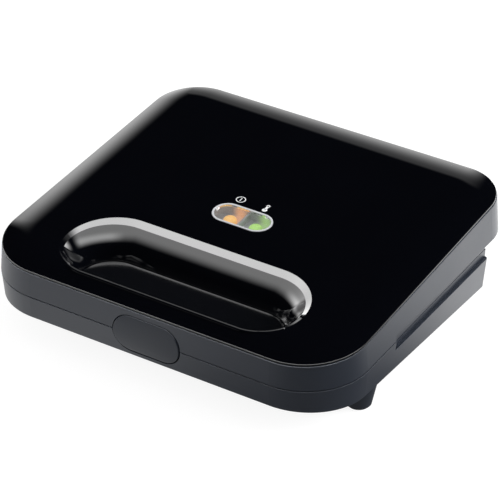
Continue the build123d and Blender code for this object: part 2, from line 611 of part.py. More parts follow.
def latch_rocker():
    """Round-ended latch with a crowned face, a barrel on the pin and a hook behind."""
    face = Y_FRONT - LATCH_PROUD
    prism = Pos(0, face + LATCH_THICKNESS, SEAM_Z) * extrude(
        Plane.XZ * SlotOverall(LATCH_WIDTH, LATCH_HEIGHT), LATCH_THICKNESS)
    crown = bar(-FAR / 2, FAR / 2, face + LATCH_CROWN, SEAM_Z, 2 * LATCH_CROWN)
    body = prism & crown
    body = fillet(body.faces().sort_by(Axis.Y)[0].edges(), LATCH_EDGE)
    barrel = bar(-LATCH_HALF, LATCH_HALF, LATCH_PIN_Y, LATCH_PIN_Z, LATCH_BARREL)
    half = LATCH_BARREL / 2
    web = block(-LATCH_HALF, LATCH_HALF, face + LATCH_THICKNESS - 0.5, LATCH_PIN_Y,
                LATCH_PIN_Z - half, LATCH_PIN_Z + half)
    arm_front = LATCH_PIN_Y + NOSE_REACH - half - ARM_THICKNESS
    arm = block(-ARM_HALF, ARM_HALF, arm_front, arm_front + ARM_THICKNESS, NOSE_Z, LATCH_PIN_Z)
    nose = block(-ARM_HALF, ARM_HALF, arm_front, LATCH_PIN_Y + NOSE_REACH, NOSE_Z, NOSE_Z + NOSE_HEIGHT)
    body += barrel + web + arm + nose
    body -= block(-SPRING_HALF - FIT, SPRING_HALF + FIT, face + LATCH_THICKNESS, FAR,
                  LATCH_PIN_Z - half - 1, FAR)
    body -= bar(-LATCH_WIDTH, LATCH_WIDTH, LATCH_PIN_Y, LATCH_PIN_Z, LATCH_PIN + 2 * RUN)
    return body


def latch_spring():
    """Torsion spring on the pin: its coil and a leg that bears on the back of the latch."""
    inner = LATCH_PIN + 4 * NEAR
    coil = bar(-SPRING_HALF, SPRING_HALF, LATCH_PIN_Y, LATCH_PIN_Z, inner + 2 * SPRING_WIRE)
    back = Y_FRONT - LATCH_PROUD + LATCH_THICKNESS + NEAR
    top = LATCH_PIN_Z + inner / 2 + SPRING_WIRE
    coil += block(SPRING_HALF - SPRING_WIRE, SPRING_HALF, back, LATCH_PIN_Y, top - SPRING_WIRE, top)
    coil -= bar(-LATCH_WIDTH, LATCH_WIDTH, LATCH_PIN_Y, LATCH_PIN_Z, inner)
    return coil


def panel_screws():
    """Four screws from the lid's underside up into the panel posts."""
    screws = []
    for x, y in PANEL_POSTS:
        head = panel_seat(y) + SCREW_HEAD_HEIGHT / 2
        for side in SIDES:
            screws.append(rod(side * x, y, head - SCREW_HEAD_HEIGHT / 2, head, SCREW_HEAD)
                          + rod(side * x, y, head, head + SCREW_REACH, SCREW_DIAMETER - 2 * PRESS))
    return all_of(screws)


# ---- indicator window, drawn on the rim plane
def window_place(z):
    """Place of a part of the window, measured from the panel's top face."""
    return RIM * Pos(0, LENS_Y, PANEL_TOP + z)


def lens_bezel():
    """Bright ring in the panel's opening."""
    length, width = LENS_LENGTH - 2 * NEAR, LENS_WIDTH - 2 * NEAR
    ring = stadium(length, width, PANEL_WALL + 0.3, -PANEL_WALL)
    ring -= stadium(length - 2 * BEZEL, width - 2 * BEZEL, FAR, -FAR / 2)
    return window_place(0) * ring


def lens_window():
    """Clear window inside the ring."""
    inset = 2 * (BEZEL + 2 * NEAR)
    return window_place(0) * stadium(LENS_LENGTH - inset, LENS_WIDTH - inset, LENS_THICKNESS, -LENS_THICKNESS)


def lamp_tray():
    """Pale tray under the window, with a divider between the two lamps."""
    inset = 2 * (BEZEL + NEAR)
    length, width = LENS_LENGTH - inset, LENS_WIDTH - inset
    tray = stadium(LENS_LENGTH + 2 * TRAY_FLANGE, LENS_WIDTH + 2 * TRAY_FLANGE, TRAY_WALL,
                   -PANEL_WALL - TRAY_WALL)
    tray += stadium(length + 2 * TRAY_WALL, width + 2 * TRAY_WALL, TRAY_DEPTH, -PANEL_WALL - TRAY_DEPTH)
    tray -= stadium(length, width, FAR, TRAY_WALL - PANEL_WALL - TRAY_DEPTH)
    low = -PANEL_WALL - TRAY_DEPTH
    tray += block(-TRAY_WALL / 2, TRAY_WALL / 2, -width / 2, width / 2, low, -PANEL_WALL - 0.5)
    for side in SIDES:
        tray -= Pos(side * LAMP_X, 0, low) * Cylinder(LAMP_DIAMETER / 2 + NEAR, 3 * TRAY_WALL)
    return window_place(0) * tray


def lamp(side):
    """Domed light guide that stands on the board."""
    radius = LAMP_DIAMETER / 2
    guide = Cylinder(radius, TRAY_DEPTH - 2, align=(Align.CENTER, Align.CENTER, Align.MIN))
    guide = fillet(guide.edges().group_by(Axis.Z)[-1], radius / 2)
    return window_place(-PANEL_WALL - TRAY_DEPTH) * Pos(side * LAMP_X, 0) * guide


def lamp_board():
    """Circuit board under the tray."""
    low = -PANEL_WALL - TRAY_DEPTH - BOARD
    return window_place(0) * block(-LENS_LENGTH / 2, LENS_LENGTH / 2, -LENS_WIDTH / 2, LENS_WIDTH / 2,
                                   low, low + BOARD)


def thermal_fuse():
    """Cartridge fuse on the back of the upper reflector."""
    back = PLATE_UNDER + PLATE_STACK + boss_height() + SHEET
    fuse = bar(-FUSE_LENGTH / 2, FUSE_LENGTH / 2, 0, 0, FUSE_DIAMETER)
    return Pos(BOSS_X / 2, PLATE_Y + REFLECTOR_HALF_DEPTH / 2, back + NEAR + FUSE_DIAMETER / 2) * fuse


# ---- base
def base_housing():
    """Matt body of the base with its decks, plate tub, latch keeper and hinge ears."""
    depth = SEAM_Z - bottom_z(BASE_REAR) + 1
    body = below(above(drafted_down(0, depth), BOTTOM), level(BASE_LEVEL))
    body = fillet(body.faces().sort_by(Axis.Z)[-1].edges(), SEAM_EDGE)
    body = fillet(body.faces().sort_by(Axis.Z)[0].edges(), EDGE)
    body -= block(-FAR, FAR, GROOVE_FRONT, FAR, BASE_TUB, FAR)
    for side in SIDES:
        ledge = block(min(side * TUB_HALF, side * FAR), max(side * TUB_HALF, side * FAR),
                      GROOVE_FRONT, FAR, 0, FAR)
        body -= above(ledge, GROOVE_LEDGE)
    body = fillet(outer_edges(body, GROOVE_LEDGE), SEAM_EDGE)
    inside = drafted_down(WALL, depth + WALL)
    body -= below(inside, level(BASE_LEVEL - FRONT_DECK)) & block(
        -FAR, FAR, -FAR, GROOVE_FRONT - WALL, -FAR, FAR)
    half = TUB_HALF - WALL
    body -= below(inside, level(BASE_TUB - DECK)) & block(-half, half, -FAR, FAR, -FAR, FAR)
    body -= plate_well(BASE_TUB, -1)
    body += base_ears()
    body -= latch_opening()
    keeper_front = LATCH_PIN_Y + NOSE_REACH + FIT
    body -= block(-ARM_HALF - 1, ARM_HALF + 1, LATCH_BACK - 0.1, keeper_front, NOSE_Z, FAR)
    body += latch_keeper(keeper_front)
    body -= hinge_bore(PRESS)
    body -= Pos(GLAND_X, BASE_REAR, GLAND_Z) * Rot(90, 0, 0) * Cylinder(GLAND_BODY / 2 + NEAR, 4 * WALL)
    for x, y in COVER_POSTS:
        roof = BASE_TUB - DECK if y > GROOVE_FRONT else BASE_LEVEL - FRONT_DECK
        for side in SIDES:
            body += above(rod(side * x, y, 0, roof + 0.5, POST_DIAMETER), BOTTOM.offset(COVER))
            body -= rod(side * x, y, 0, bottom_z(y) + COVER + SCREW_HOLE, SCREW_DIAMETER)
    return body


def base_ears():
    """Two ears behind the rear wall that hold the hinge pins."""
    lower = HINGE_Z - 1.5 * KNUCKLE
    tangent = KNUCKLE / 2 / math.sqrt(2)
    outline = [(BASE_REAR - WALL, lower), (BASE_REAR, lower),
               (HINGE_Y + tangent / 2, HINGE_Z - 1.3 * tangent), (HINGE_Y, HINGE_Z),
               (HINGE_Y - tangent, HINGE_Z + tangent), (BASE_REAR, BASE_TUB - 1),
               (BASE_REAR - WALL, BASE_TUB - 1)]
    return all_of(hinge_plate(side * HINGE_X, EAR_THICKNESS, outline) for side in SIDES)


def latch_keeper(front):
    """Rib that the latch hook goes under, hung from the front deck."""
    low = NOSE_Z + NOSE_HEIGHT + FIT
    half = ARM_HALF + 3
    rib = block(-half, half, front, front + KEEPER_DEPTH, low, low + KEEPER)
    return rib + block(-half, half, front + KEEPER_DEPTH - WALL, front + KEEPER_DEPTH, low, BASE_LEVEL - 0.5)


def bottom_cover():
    """Vented plate that closes the base from below."""
    depth = SEAM_Z - bottom_z(BASE_REAR) + WALL
    inset = TUB_HALF - WALL - FIT
    cover = below(above(drafted_down(WALL + FIT, depth), BOTTOM), BOTTOM.offset(COVER))
    cover &= (block(-inset, inset, -FAR, FAR, -FAR, FAR)
              + block(-FAR, FAR, -FAR, GROOVE_FRONT - WALL - FIT, -FAR, FAR))
    vent = Rot(0, 0, 90) * stadium(VENT_LENGTH, VENT_WIDTH, FAR, -FAR / 2)
    for side in SIDES:
        for i in range(VENT_COUNT):
            x = side * (2.5 * VENT_PITCH + i * VENT_PITCH)
            cover -= Pos(x, VENT_Y, 0) * vent
    for x, y in COVER_POSTS:
        for side in SIDES:
            cover -= rod(side * x, y, 0, FAR, SCREW_DIAMETER + 2 * NEAR)
            cover -= rod(side * x, y, 0, bottom_z(y) + SCREW_HEAD_HEIGHT, SCREW_HEAD + 2 * NEAR)
    return cover


def cover_screws():
    """Four screws through the cover into the posts of the base."""
    screws = []
    for x, y in COVER_POSTS:
        head = bottom_z(y) + SCREW_HEAD_HEIGHT
        for side in SIDES:
            screws.append(rod(side * x, y, head - SCREW_HEAD_HEIGHT, head, SCREW_HEAD)
                          + rod(side * x, y, head, head + SCREW_REACH, SCREW_DIAMETER - 2 * PRESS))
    return all_of(screws)


def foot(x, y):
    """Tapered foot under the base, hollowed for its pad."""
    top = bottom_z(y) + 3
    grow = math.tan(math.radians(FOOT_TAPER)) * (top - FOOT_LIFT)
    body = Pos(x, y, FOOT_LIFT) * Cone(FOOT_RADIUS, FOOT_RADIUS + grow, top - FOOT_LIFT,
                                       align=(Align.CENTER, Align.CENTER, Align.MIN))
    return below(body, BOTTOM) - rod(x, y, 0, PAD_THICKNESS, 2 * (PAD_RADIUS + PRESS))


def foot_pad(x, y):
    """Rubber pad that the press stands on."""
    return rod(x, y, 0, PAD_THICKNESS, 2 * PAD_RADIUS)


def hinge_pin(side):
    """Steel pin with a head, fixed in an ear of the base."""
    reach = EAR_THICKNESS / 2 + HINGE_SIDE + CHEEK_THICKNESS + NEAR
    x = side * HINGE_X
    pin = bar(x - reach, x + reach, HINGE_Y, HINGE_Z, HINGE_PIN)
    ends = sorted((x + side * reach, x + side * (reach + PIN_HEAD_LENGTH)))
    return pin + bar(ends[0], ends[1], HINGE_Y, HINGE_Z, PIN_HEAD)


def thermostat():
    """Disc thermostat against the back of the lower plate."""
    top = PLATE_TOP - PLATE_STACK - NEAR
    return rod(0, PLATE_Y, top - THERMOSTAT_HEIGHT, top, THERMOSTAT_DIAMETER)


def terminal_block():
    """Screw terminal block on the cover, in the empty front of the base."""
    length, width, height = BLOCK_SIZE
    body = Pos(0, 0, height / 2) * Box(length, width, height)
    wells = [Pos((i - 1) * length / 3, 0, height) * Cylinder(3.0, height) for i in range(3)]
    return BOTTOM.offset(COVER) * Pos(*BLOCK_PLACE) * (body - wells)


def cord_gland():
    """Bush in the rear wall that the supply cord would come through."""
    body = Cylinder(GLAND_BODY / 2, GLAND_LENGTH + WALL + 1, align=(Align.CENTER, Align.CENTER, Align.MIN))
    body += Pos(0, 0, WALL + 1 + NEAR) * Cylinder(GLAND_FLANGE / 2, 2.5, align=(
        Align.CENTER, Align.CENTER, Align.MIN))
    body -= Cylinder(GLAND_BORE / 2, FAR)
    return Pos(GLAND_X, BASE_REAR - WALL - 1, GLAND_Z) * Rot(-90, 0, 0) * body


# ---- every piece under its own name
def pieces():
    """Name and shape of each node."""
    yield "lid_housing", lid_housing()
    yield "lid_top_panel", lid_top_panel()
    yield "handle_well", handle_well()
    yield "panel_screws", panel_screws()
    yield "lens_bezel", lens_bezel()
    yield "lens_window", lens_window()
    yield "lamp_tray", lamp_tray()
    yield "amber_light_guide", lamp(-1)
    yield "green_light_guide", lamp(1)
    yield "lamp_board", lamp_board()
    yield "upper_plate", UPPER * plate()
    yield "upper_element", UPPER * element()
    yield "upper_reflector", UPPER * reflector(0)
    yield "upper_plate_screws", UPPER * plate_screws()
    yield "thermal_fuse", thermal_fuse()
    yield "latch_rocker", latch_rocker()
    yield "latch_pin", latch_pin()
    yield "latch_spring", latch_spring()
    yield "base_housing", base_housing()
    yield "bottom_cover", bottom_cover()
    yield "cover_screws", cover_screws()
    yield "lower_plate", LOWER * plate()
    yield "lower_element", LOWER * element()
    yield "lower_reflector", LOWER * reflector(THERMOSTAT_DIAMETER + 2 * THERMOSTAT_CLEAR)
    yield "lower_plate_screws", LOWER * plate_screws()
    yield "thermostat", thermostat()
    yield "terminal_block", terminal_block()
    yield "cord_gland", cord_gland()
    for side, hand in ((-1, "left"), (1, "right")):
        yield "hinge_pin_" + hand, hinge_pin(side)
        for row, place in (("front", FRONT_FOOT), ("rear", REAR_FOOT)):
            x, y = side * place[0], place[1]
            yield f"{row}_foot_{hand}", foot(x, y)
            yield f"{row}_foot_pad_{hand}", foot_pad(x, y)


if __name__ == "__main__":
    os.makedirs("parts", exist_ok=True)
    for name, shape in pieces():
        export_step(shape, os.path.join("parts", name + ".step"))
        print(name, round(shape.volume / 1000, 2), "cm3")
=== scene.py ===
"""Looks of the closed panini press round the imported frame.

Its finishes, gloss panel, screws, latch spring and printed signs, and a plain studio.
"""

import logging
import math
from dataclasses import dataclass
from enum import Enum
from typing import Callable, Iterable, Sequence, Union

import bmesh
import bpy
from mathutils import Matrix, Vector


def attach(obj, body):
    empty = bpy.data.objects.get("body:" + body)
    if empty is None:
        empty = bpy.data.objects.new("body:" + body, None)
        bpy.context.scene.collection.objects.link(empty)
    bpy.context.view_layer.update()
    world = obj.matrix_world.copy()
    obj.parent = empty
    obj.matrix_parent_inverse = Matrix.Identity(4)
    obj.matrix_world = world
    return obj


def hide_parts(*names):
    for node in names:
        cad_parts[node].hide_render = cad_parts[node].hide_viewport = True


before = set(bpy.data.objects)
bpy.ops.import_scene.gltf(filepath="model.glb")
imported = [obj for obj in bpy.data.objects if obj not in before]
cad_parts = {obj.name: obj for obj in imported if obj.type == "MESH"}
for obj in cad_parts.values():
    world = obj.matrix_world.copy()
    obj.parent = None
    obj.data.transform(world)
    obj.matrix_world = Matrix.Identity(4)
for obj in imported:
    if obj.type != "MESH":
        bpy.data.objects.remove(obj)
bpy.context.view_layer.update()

LOG = logging.getLogger("panini_press")
MM = 0.001
Pair = tuple[float, float]
Triple = tuple[float, float, float]
Colour = Triple
Point = Triple
Spot = Pair
Mesh = bmesh.types.BMesh
Vert = bmesh.types.BMVert
Edge = bmesh.types.BMEdge
Thing = bpy.types.Object
Material = bpy.types.Material


class Body(Enum):
    """The parts of the press that move as one."""

    BASE = "base"
    LID = "lid"
    LATCH = "latch"


# ---------------------------------------------------------------- shader trees


def math_node(operation: str, swapped: bool = False) -> Callable[["Value", "Term"], "Value"]:
    """A method of Value that adds one Math node.

    Args:
        operation: Name of the node's operation.
        swapped: Whether the value is the right-hand term.

    Returns:
        The method.
    """
    def apply(value: "Value", other: "Term" = 0.0) -> "Value":
        """Adds the node and hands back its result."""
        terms = (other, value) if swapped else (value, other)
        return value.shade.node("ShaderNodeMath", {"operation": operation}, dict(enumerate(terms)))

    return apply


class Value:
    """A node socket that takes part in arithmetic; every operator adds a Math node."""

    def __init__(self, shade: "Shade", socket: bpy.types.NodeSocket) -> None:
        """Keeps the tree and the output socket."""
        self.shade = shade
        self.socket = socket

    __add__ = __radd__ = math_node("ADD")
    __mul__ = __rmul__ = math_node("MULTIPLY")
    __sub__ = math_node("SUBTRACT")
    __rsub__ = math_node("SUBTRACT", swapped=True)
    __truediv__ = math_node("DIVIDE")
    __gt__ = math_node("GREATER_THAN")
    __pow__ = math_node("POWER")
    __abs__ = math_node("ABSOLUTE")
    most = math_node("MAXIMUM")
    least = math_node("MINIMUM")


Term = Union[Value, float]
Tint = Union[Value, Colour]


@dataclass(frozen=True)
class Fade:
    """Where a smooth step starts, at nothing, and where it ends, at full."""

    start: float
    end: float


class Shade:
    """Adds nodes to one material or world tree."""

    def __init__(self, tree: bpy.types.NodeTree) -> None:
        """Empties the tree and keeps it."""
        self.tree = tree
        tree.nodes.clear()

    def node(self, kind: str, settings: dict[str, object] | None = None,
             inputs: dict[Union[str, int], object] | None = None, output: Union[str, int] = 0) -> Value:
        """Adds one node.

        Args:
            kind: Blender's type name of the node.
            settings: Properties set before the sockets.
            inputs: Numbers, colours or Values for the sockets, by name or index.
            output: Output that the result stands for.

        Returns:
            The chosen output as a Value; its node is reached through socket.node.
        """
        made = self.tree.nodes.new(kind)
        for name, setting in (settings or {}).items():
            setattr(made, name, setting)
        for name, term in (inputs or {}).items():
            if isinstance(term, Value):
                self.tree.links.new(term.socket, made.inputs[name])
            else:
                made.inputs[name].default_value = term
        return Value(self, made.outputs[output]) if len(made.outputs) else Value(self, None)

    def place(self) -> Value:
        """Object coordinates, in metres."""
        return self.node("ShaderNodeTexCoord", output="Object")

    def noise(self, size: float, detail: float = 2.0, roughness: float = 0.5,
              stretch: Point = (1, 1, 1)) -> Value:
        """Noise whose features are about the given size.

        Args:
            size: Feature size in metres.
            detail: Octaves.
            roughness: Weight of the finer octaves.
            stretch: Factors on the three coordinates.

        Returns:
            Grey noise round 0.5.
        """
        where = self.place()
        if stretch != (1, 1, 1):
            where = self.node("ShaderNodeMapping", {"vector_type": "POINT"}, {0: where, 3: stretch})
        return self.node("ShaderNodeTexNoise", None,
                         {"Vector": where, "Scale": 1 / size, "Detail": detail, "Roughness": roughness})

    def cells(self, size: float) -> Value:
        """Distance to the nearest of a scatter of points that lie about a size apart."""
        return self.node("ShaderNodeTexVoronoi", None, {"Vector": self.place(), "Scale": 1 / size})

    def bump(self, height: Value, distance: float) -> Value:
        """Normal of a relief whose black and white lie a distance apart, in metres."""
        return self.node("ShaderNodeBump", None, {"Height": height, "Distance": distance, "Strength": 1.0})

    def blend(self, share: Term, first: Tint, second: Tint) -> Value:
        """Colour between two others.

        Args:
            share: 0 for the first, 1 for the second.
            first: Colour or Value.
            second: Colour or Value.

        Returns:
            The mixed colour.
        """
        first, second = (tint if isinstance(tint, Value) else (*tint, 1.0) for tint in (first, second))
        return self.node("ShaderNodeMix", {"data_type": "RGBA"}, {0: share, 6: first, 7: second}, 2)

    def shaders(self, share: Term, first: Value, second: Value) -> Value:
        """One shader at 0 and the other at 1."""
        return self.node("ShaderNodeMixShader", None, {0: share, 1: first, 2: second})

    def glow(self, level: float, strength: float) -> Value:
        """Grey light of its own."""
        return self.node("ShaderNodeEmission", None,
                         {"Color": (level, level, level, 1.0), "Strength": strength})

    def unit(self, look: Value) -> Value:
        """A direction brought to length one."""
        return self.node("ShaderNodeVectorMath", {"operation": "NORMALIZE"}, {0: look}, "Vector")

    def along(self, look: Value, axis: Point) -> Value:
        """How far a direction points along an axis."""
        unit = tuple(Vector(axis).normalized())
        return self.node("ShaderNodeVectorMath", {"operation": "DOT_PRODUCT"}, {0: look, 1: unit}, "Value")

    def ease(self, term: Value, fade: "Fade") -> Value:
        """Smooth step from 0 where the fade starts to 1 where it ends."""
        return self.node("ShaderNodeMapRange", {"interpolation_type": "SMOOTHSTEP"},
                         {"Value": term, "From Min": fade.start, "From Max": fade.end})

    def rays(self, *kinds: str) -> list[Value]:
        """Whether a ray is of each of the given kinds."""
        path = self.node("ShaderNodeLightPath").socket.node.outputs
        return [Value(self, path[f"Is {kind} Ray"]) for kind in kinds]

    def surface(self, shader: Value) -> None:
        """Links a shader to the output."""
        out = self.tree.nodes.new("ShaderNodeOutputMaterial")
        self.tree.links.new(shader.socket, out.inputs["Surface"])


def tinted(colour: Colour, factor: float) -> Colour:
    """A colour made lighter or darker by a factor."""
    return tuple(min(1.0, c * factor) for c in colour)


def fresh_material(name: str) -> tuple[Material, Shade]:
    """An empty node material.

    Args:
        name: Name of the material.

    Returns:
        The material and its tree.
    """
    material = bpy.data.materials.new(name)
    material.use_nodes = True
    return material, Shade(material.node_tree)


# ---------------------------------------------------------------- finishes


@dataclass(frozen=True)
class Finish:
    """A named finish with its main colour."""

    name: str
    colour: Colour

    def tones(self, shade: Shade, share: Term, factors: Pair) -> Value:
        """The main colour varied between two factors."""
        low, high = (tinted(self.colour, factor) for factor in factors)
        return shade.blend(share, low, high)

    def look(self, shade: Shade) -> dict[str, object]:
        """What the surface shader gets, which each finish says for itself.

        Args:
            shade: Tree of the material.

        Returns:
            A number, a colour or a Value for each socket, by name.
        """
        raise NotImplementedError

    def make(self) -> Material:
        """The finish as a node material."""
        material, shade = fresh_material(self.name)
        shade.surface(shade.node("ShaderNodeBsdfPrincipled", None, self.look(shade)))
        return material


@dataclass(frozen=True)
class MouldedPlastic(Finish):
    """Plastic from a spark-eroded mould: a fine even grain, slightly uneven in gloss."""

    roughness: float
    grain: float = 0.35 * MM
    relief: float = 0.010 * MM
    specular: float = 0.5
    pit_grains: float = 1.6
    patch: float = 26 * MM
    factors: Pair = (0.82, 1.22)  # darkest and lightest share of the colour
    wear: Pair = (0.07, 0.05)  # how much the handling and the grain dull it

    def look(self, shade: Shade) -> dict[str, object]:
        """Grain, pits and traces of handling."""
        fine = shade.noise(self.grain, 3.0, 0.55)
        pits = shade.cells(self.grain * self.pit_grains)
        handling = shade.noise(self.patch, 3.0, 0.6)
        return {"Base Color": self.tones(shade, handling * 0.55 + fine * 0.45, self.factors),
                "Roughness": self.roughness - 0.05 + handling * self.wear[0] + fine * self.wear[1],
                "Specular IOR Level": self.specular,
                "Normal": shade.bump(fine * 0.6 + pits * 0.4, self.relief)}


@dataclass(frozen=True)
class GlossPlastic(Finish):
    """High-gloss moulded plastic with a trace of flow waviness and faint wiping marks."""

    roughness: float
    wave: float = 14 * MM
    mark: float = 0.5 * MM
    patch: float = 45 * MM
    factors: Pair = (0.85, 1.2)  # darkest and lightest share of the colour
    wear: Pair = (0.025, 0.02)  # how much the film and the wiping dull it
    relief: float = 0.012 * MM

    def look(self, shade: Shade) -> dict[str, object]:
        """Waves, wiping marks and film."""
        waves = shade.noise(self.wave, 2.0, 0.4)
        wiping = shade.noise(self.mark, 2.0, 0.5, (1.0, 0.05, 1.0))
        film = shade.noise(self.patch, 4.0, 0.6)
        return {"Base Color": self.tones(shade, film, self.factors),
                "Roughness": self.roughness + film * self.wear[0] + (wiping > 0.68) * self.wear[1],
                "Normal": shade.bump(waves, self.relief)}


@dataclass(frozen=True)
class Metal(Finish):
    """Metal with a drawn or ground grain along the x axis, and heat colours where it gets hot."""

    roughness: float
    grain: float = 0.25 * MM
    heat: Colour | None = None
    patch: float = 18 * MM
    factors: Pair = (0.86, 1.1)
    wear: float = 0.06
    relief: float = 0.004 * MM

    def look(self, shade: Shade) -> dict[str, object]:
        """Drawn lines and cloudy heat colours."""
        lines = shade.noise(self.grain, 2.0, 0.6, (0.04, 1.0, 1.0))
        cloud = shade.noise(self.patch, 3.0, 0.6)
        colour = self.tones(shade, lines, self.factors)
        if self.heat:
            colour = shade.blend((cloud - 0.35).most(0.0) * 2.2, colour, self.heat)
        return {"Base Color": colour, "Metallic": 1.0,
                "Roughness": self.roughness - 0.05 + cloud * self.wear + lines * self.wear,
                "Normal": shade.bump(lines, self.relief)}


@dataclass(frozen=True)
class NonStick(Finish):
    """Sprayed non-stick coating: near black, speckled, with a soft orange-peel surface."""

    speckle: Colour
    fleck: float = 1.1 * MM
    fleck_reach: float = 0.16
    peel: float = 0.9 * MM
    patch: float = 30 * MM
    factors: Pair = (0.85, 1.25)
    relief: float = 0.02 * MM

    def look(self, shade: Shade) -> dict[str, object]:
        """Flecks over a cloudy ground."""
        flecks = 1 - (shade.cells(self.fleck) > self.fleck_reach)
        peel = shade.noise(self.peel, 2.0, 0.5)
        cloud = shade.noise(self.patch, 3.0, 0.6)
        ground = self.tones(shade, cloud, self.factors)
        return {"Base Color": shade.blend(flecks * 0.5, ground, self.speckle),
                "Roughness": 0.3 + cloud * 0.12, "Normal": shade.bump(peel, self.relief)}


@dataclass(frozen=True)
class ClearPlastic(Finish):
    """Clear polished window."""

    roughness: float
    refraction: float = 1.49
    patch: float = 6 * MM
    relief: float = 0.01 * MM

    def look(self, shade: Shade) -> dict[str, object]:
        """Clear body with a faint film."""
        film = shade.noise(self.patch, 3.0, 0.5)
        return {"Base Color": (*self.colour, 1.0), "Transmission Weight": 1.0, "IOR": self.refraction,
                "Roughness": self.roughness + film * 0.02, "Normal": shade.bump(film, self.relief)}


@dataclass(frozen=True)
class LampPlastic(Finish):
    """Frosted light guide with a faint, slightly cloudy glow."""

    glow: float
    patch: float = 1.5 * MM
    factors: Pair = (0.8, 1.15)
    relief: float = 0.03 * MM

    def look(self, shade: Shade) -> dict[str, object]:
        """Cloudy body that glows in its own colour."""
        cloud = shade.noise(self.patch, 3.0, 0.6)
        colour = self.tones(shade, cloud, self.factors)
        return {"Base Color": colour, "Roughness": 0.25 + cloud * 0.2, "Emission Color": colour,
                "Emission Strength": self.glow, "Normal": shade.bump(cloud, self.relief)}


@dataclass(frozen=True)
class Rubber(Finish):
    """Matt rubber with bloom."""

    patch: float = 3 * MM
    tooth: float = 0.2 * MM
    factors: Pair = (0.7, 1.6)
    relief: float = 0.02 * MM

    def look(self, shade: Shade) -> dict[str, object]:
        """Dusty body with a fine tooth."""
        dust = shade.noise(self.patch, 4.0, 0.65)
        fine = shade.noise(self.tooth, 2.0, 0.5)
        return {"Base Color": self.tones(shade, dust, self.factors), "Roughness": 0.75 + dust * 0.15,
                "Normal": shade.bump(fine, self.relief)}


@dataclass(frozen=True)
class Ceramic(Finish):
    """Pale insulating body with a slight tooth."""

    speck: float = 0.7 * MM
    speck_reach: float = 0.1
    patch: float = 7 * MM
    factors: Pair = (0.88, 1.06)
    relief: float = 0.01 * MM

    def look(self, shade: Shade) -> dict[str, object]:
        """Cloudy body with small dark specks."""
        specks = shade.cells(self.speck)
        cloud = shade.noise(self.patch, 3.0, 0.6)
        colour = self.tones(shade, cloud, self.factors)
        dark = (1 - (specks > self.speck_reach)) * 0.3
        return {"Base Color": shade.blend(dark, colour, tinted(self.colour, 0.5)),
                "Roughness": 0.45 + cloud * 0.1, "Normal": shade.bump(specks, self.relief)}


@dataclass(frozen=True)
class Glow:
    """Light that falls on the tray round one guide."""

    place: float
    colour: Colour
    level: float


@dataclass(frozen=True)
class LitTray(Finish):
    """Pale tray that glows round each light guide."""

    glows: tuple[Glow, ...]
    spread: float
    strength: float
    patch: float = 1.2 * MM
    factors: Pair = (0.9, 1.08)
    relief: float = 0.01 * MM

    def look(self, shade: Shade) -> dict[str, object]:
        """Pale body; each glow fades out along the tray's length."""
        grain = shade.noise(self.patch, 3.0, 0.6)
        across = shade.node("ShaderNodeSeparateXYZ", None, {0: shade.place()}, "X")
        colour = (0.0, 0.0, 0.0)
        for glow in self.glows:
            near = shade.node("ShaderNodeMapRange", {"interpolation_type": "SMOOTHERSTEP"}, {
                "Value": abs(across - glow.place), "From Min": self.spread, "From Max": 0.0})
            colour = shade.blend(near * glow.level, colour, glow.colour)
        return {"Base Color": self.tones(shade, grain, self.factors), "Roughness": 0.35 + grain * 0.1,
                "Emission Color": colour, "Emission Strength": self.strength,
                "Normal": shade.bump(grain, self.relief)}


@dataclass(frozen=True)
class Board(Finish):
    """Solder-masked board with darker tracks."""

    thread: float = 0.8 * MM
    track: float = 4 * MM
    factors: Pair = (1.0, 0.55)
    relief: float = 0.03 * MM

    def look(self, shade: Shade) -> dict[str, object]:
        """Tracks under the mask, and the weave of the board."""
        weave = shade.noise(self.thread, 1.0, 0.4, (1.0, 0.2, 1.0))
        tracks = (shade.noise(self.track, 0.0, 0.5, (1.0, 0.3, 1.0)) > 0.52) * 0.6
        return {"Base Color": self.tones(shade, tracks, self.factors), "Roughness": 0.3 + weave * 0.1,
                "Normal": shade.bump(tracks, self.relief)}


CASING = MouldedPlastic("casing_plastic", (0.0105, 0.0142, 0.0225), 0.40)
LATCH_FINISH = MouldedPlastic("latch_plastic", (0.0085, 0.0118, 0.0190), 0.37, grain=0.3 * MM, specular=0.36)
INNER = MouldedPlastic("inner_plastic", (0.018, 0.018, 0.020), 0.5)
PANEL = GlossPlastic("panel_gloss", (0.0012, 0.0014, 0.0024), 0.035)
WELL = MouldedPlastic("well_satin", (0.003, 0.0034, 0.0046), 0.12, relief=0.002 * MM)
# The bezel is chrome; its pale colour is a painted reflection that stands in for the bright rim the chrome
# shows.
BEZEL_PAINTED_GLINT = MouldedPlastic("bright_trim", (0.55, 0.56, 0.58), 0.25, grain=0.4 * MM)
STEEL = Metal("plain_steel", (0.56, 0.56, 0.57), 0.28)
TUBE = Metal("heater_tube", (0.34, 0.31, 0.28), 0.42, heat=(0.16, 0.12, 0.15))
SHEET = Metal("reflector_metal", (0.74, 0.75, 0.77), 0.22, heat=(0.62, 0.55, 0.42))
COATING = NonStick("plate_coating", (0.016, 0.016, 0.018), (0.10, 0.10, 0.11))
WINDOW = ClearPlastic("clear_window", (0.97, 0.98, 0.99), 0.02)
AMBER = LampPlastic("amber_guide", (0.90, 0.50, 0.14), 0.50)
GREEN = LampPlastic("green_guide", (0.42, 0.72, 0.16), 0.45)
TRAY = LitTray("tray_pale", (0.42, 0.42, 0.43), (Glow(-6.0 * MM, (1.0, 0.36, 0.07), 1.0),
                                                 Glow(11.0 * MM, (0.42, 0.80, 0.12), 0.85)), 7.0 * MM, 0.42)
TERMINAL = Ceramic("terminal_cream", (0.78, 0.74, 0.64))
CIRCUIT = Board("board_green", (0.02, 0.16, 0.06))
FEET = Rubber("foot_rubber", (0.02, 0.02, 0.021))
PRINT = MouldedPlastic("print_white", (0.78, 0.79, 0.80), 0.45, relief=0.002 * MM)


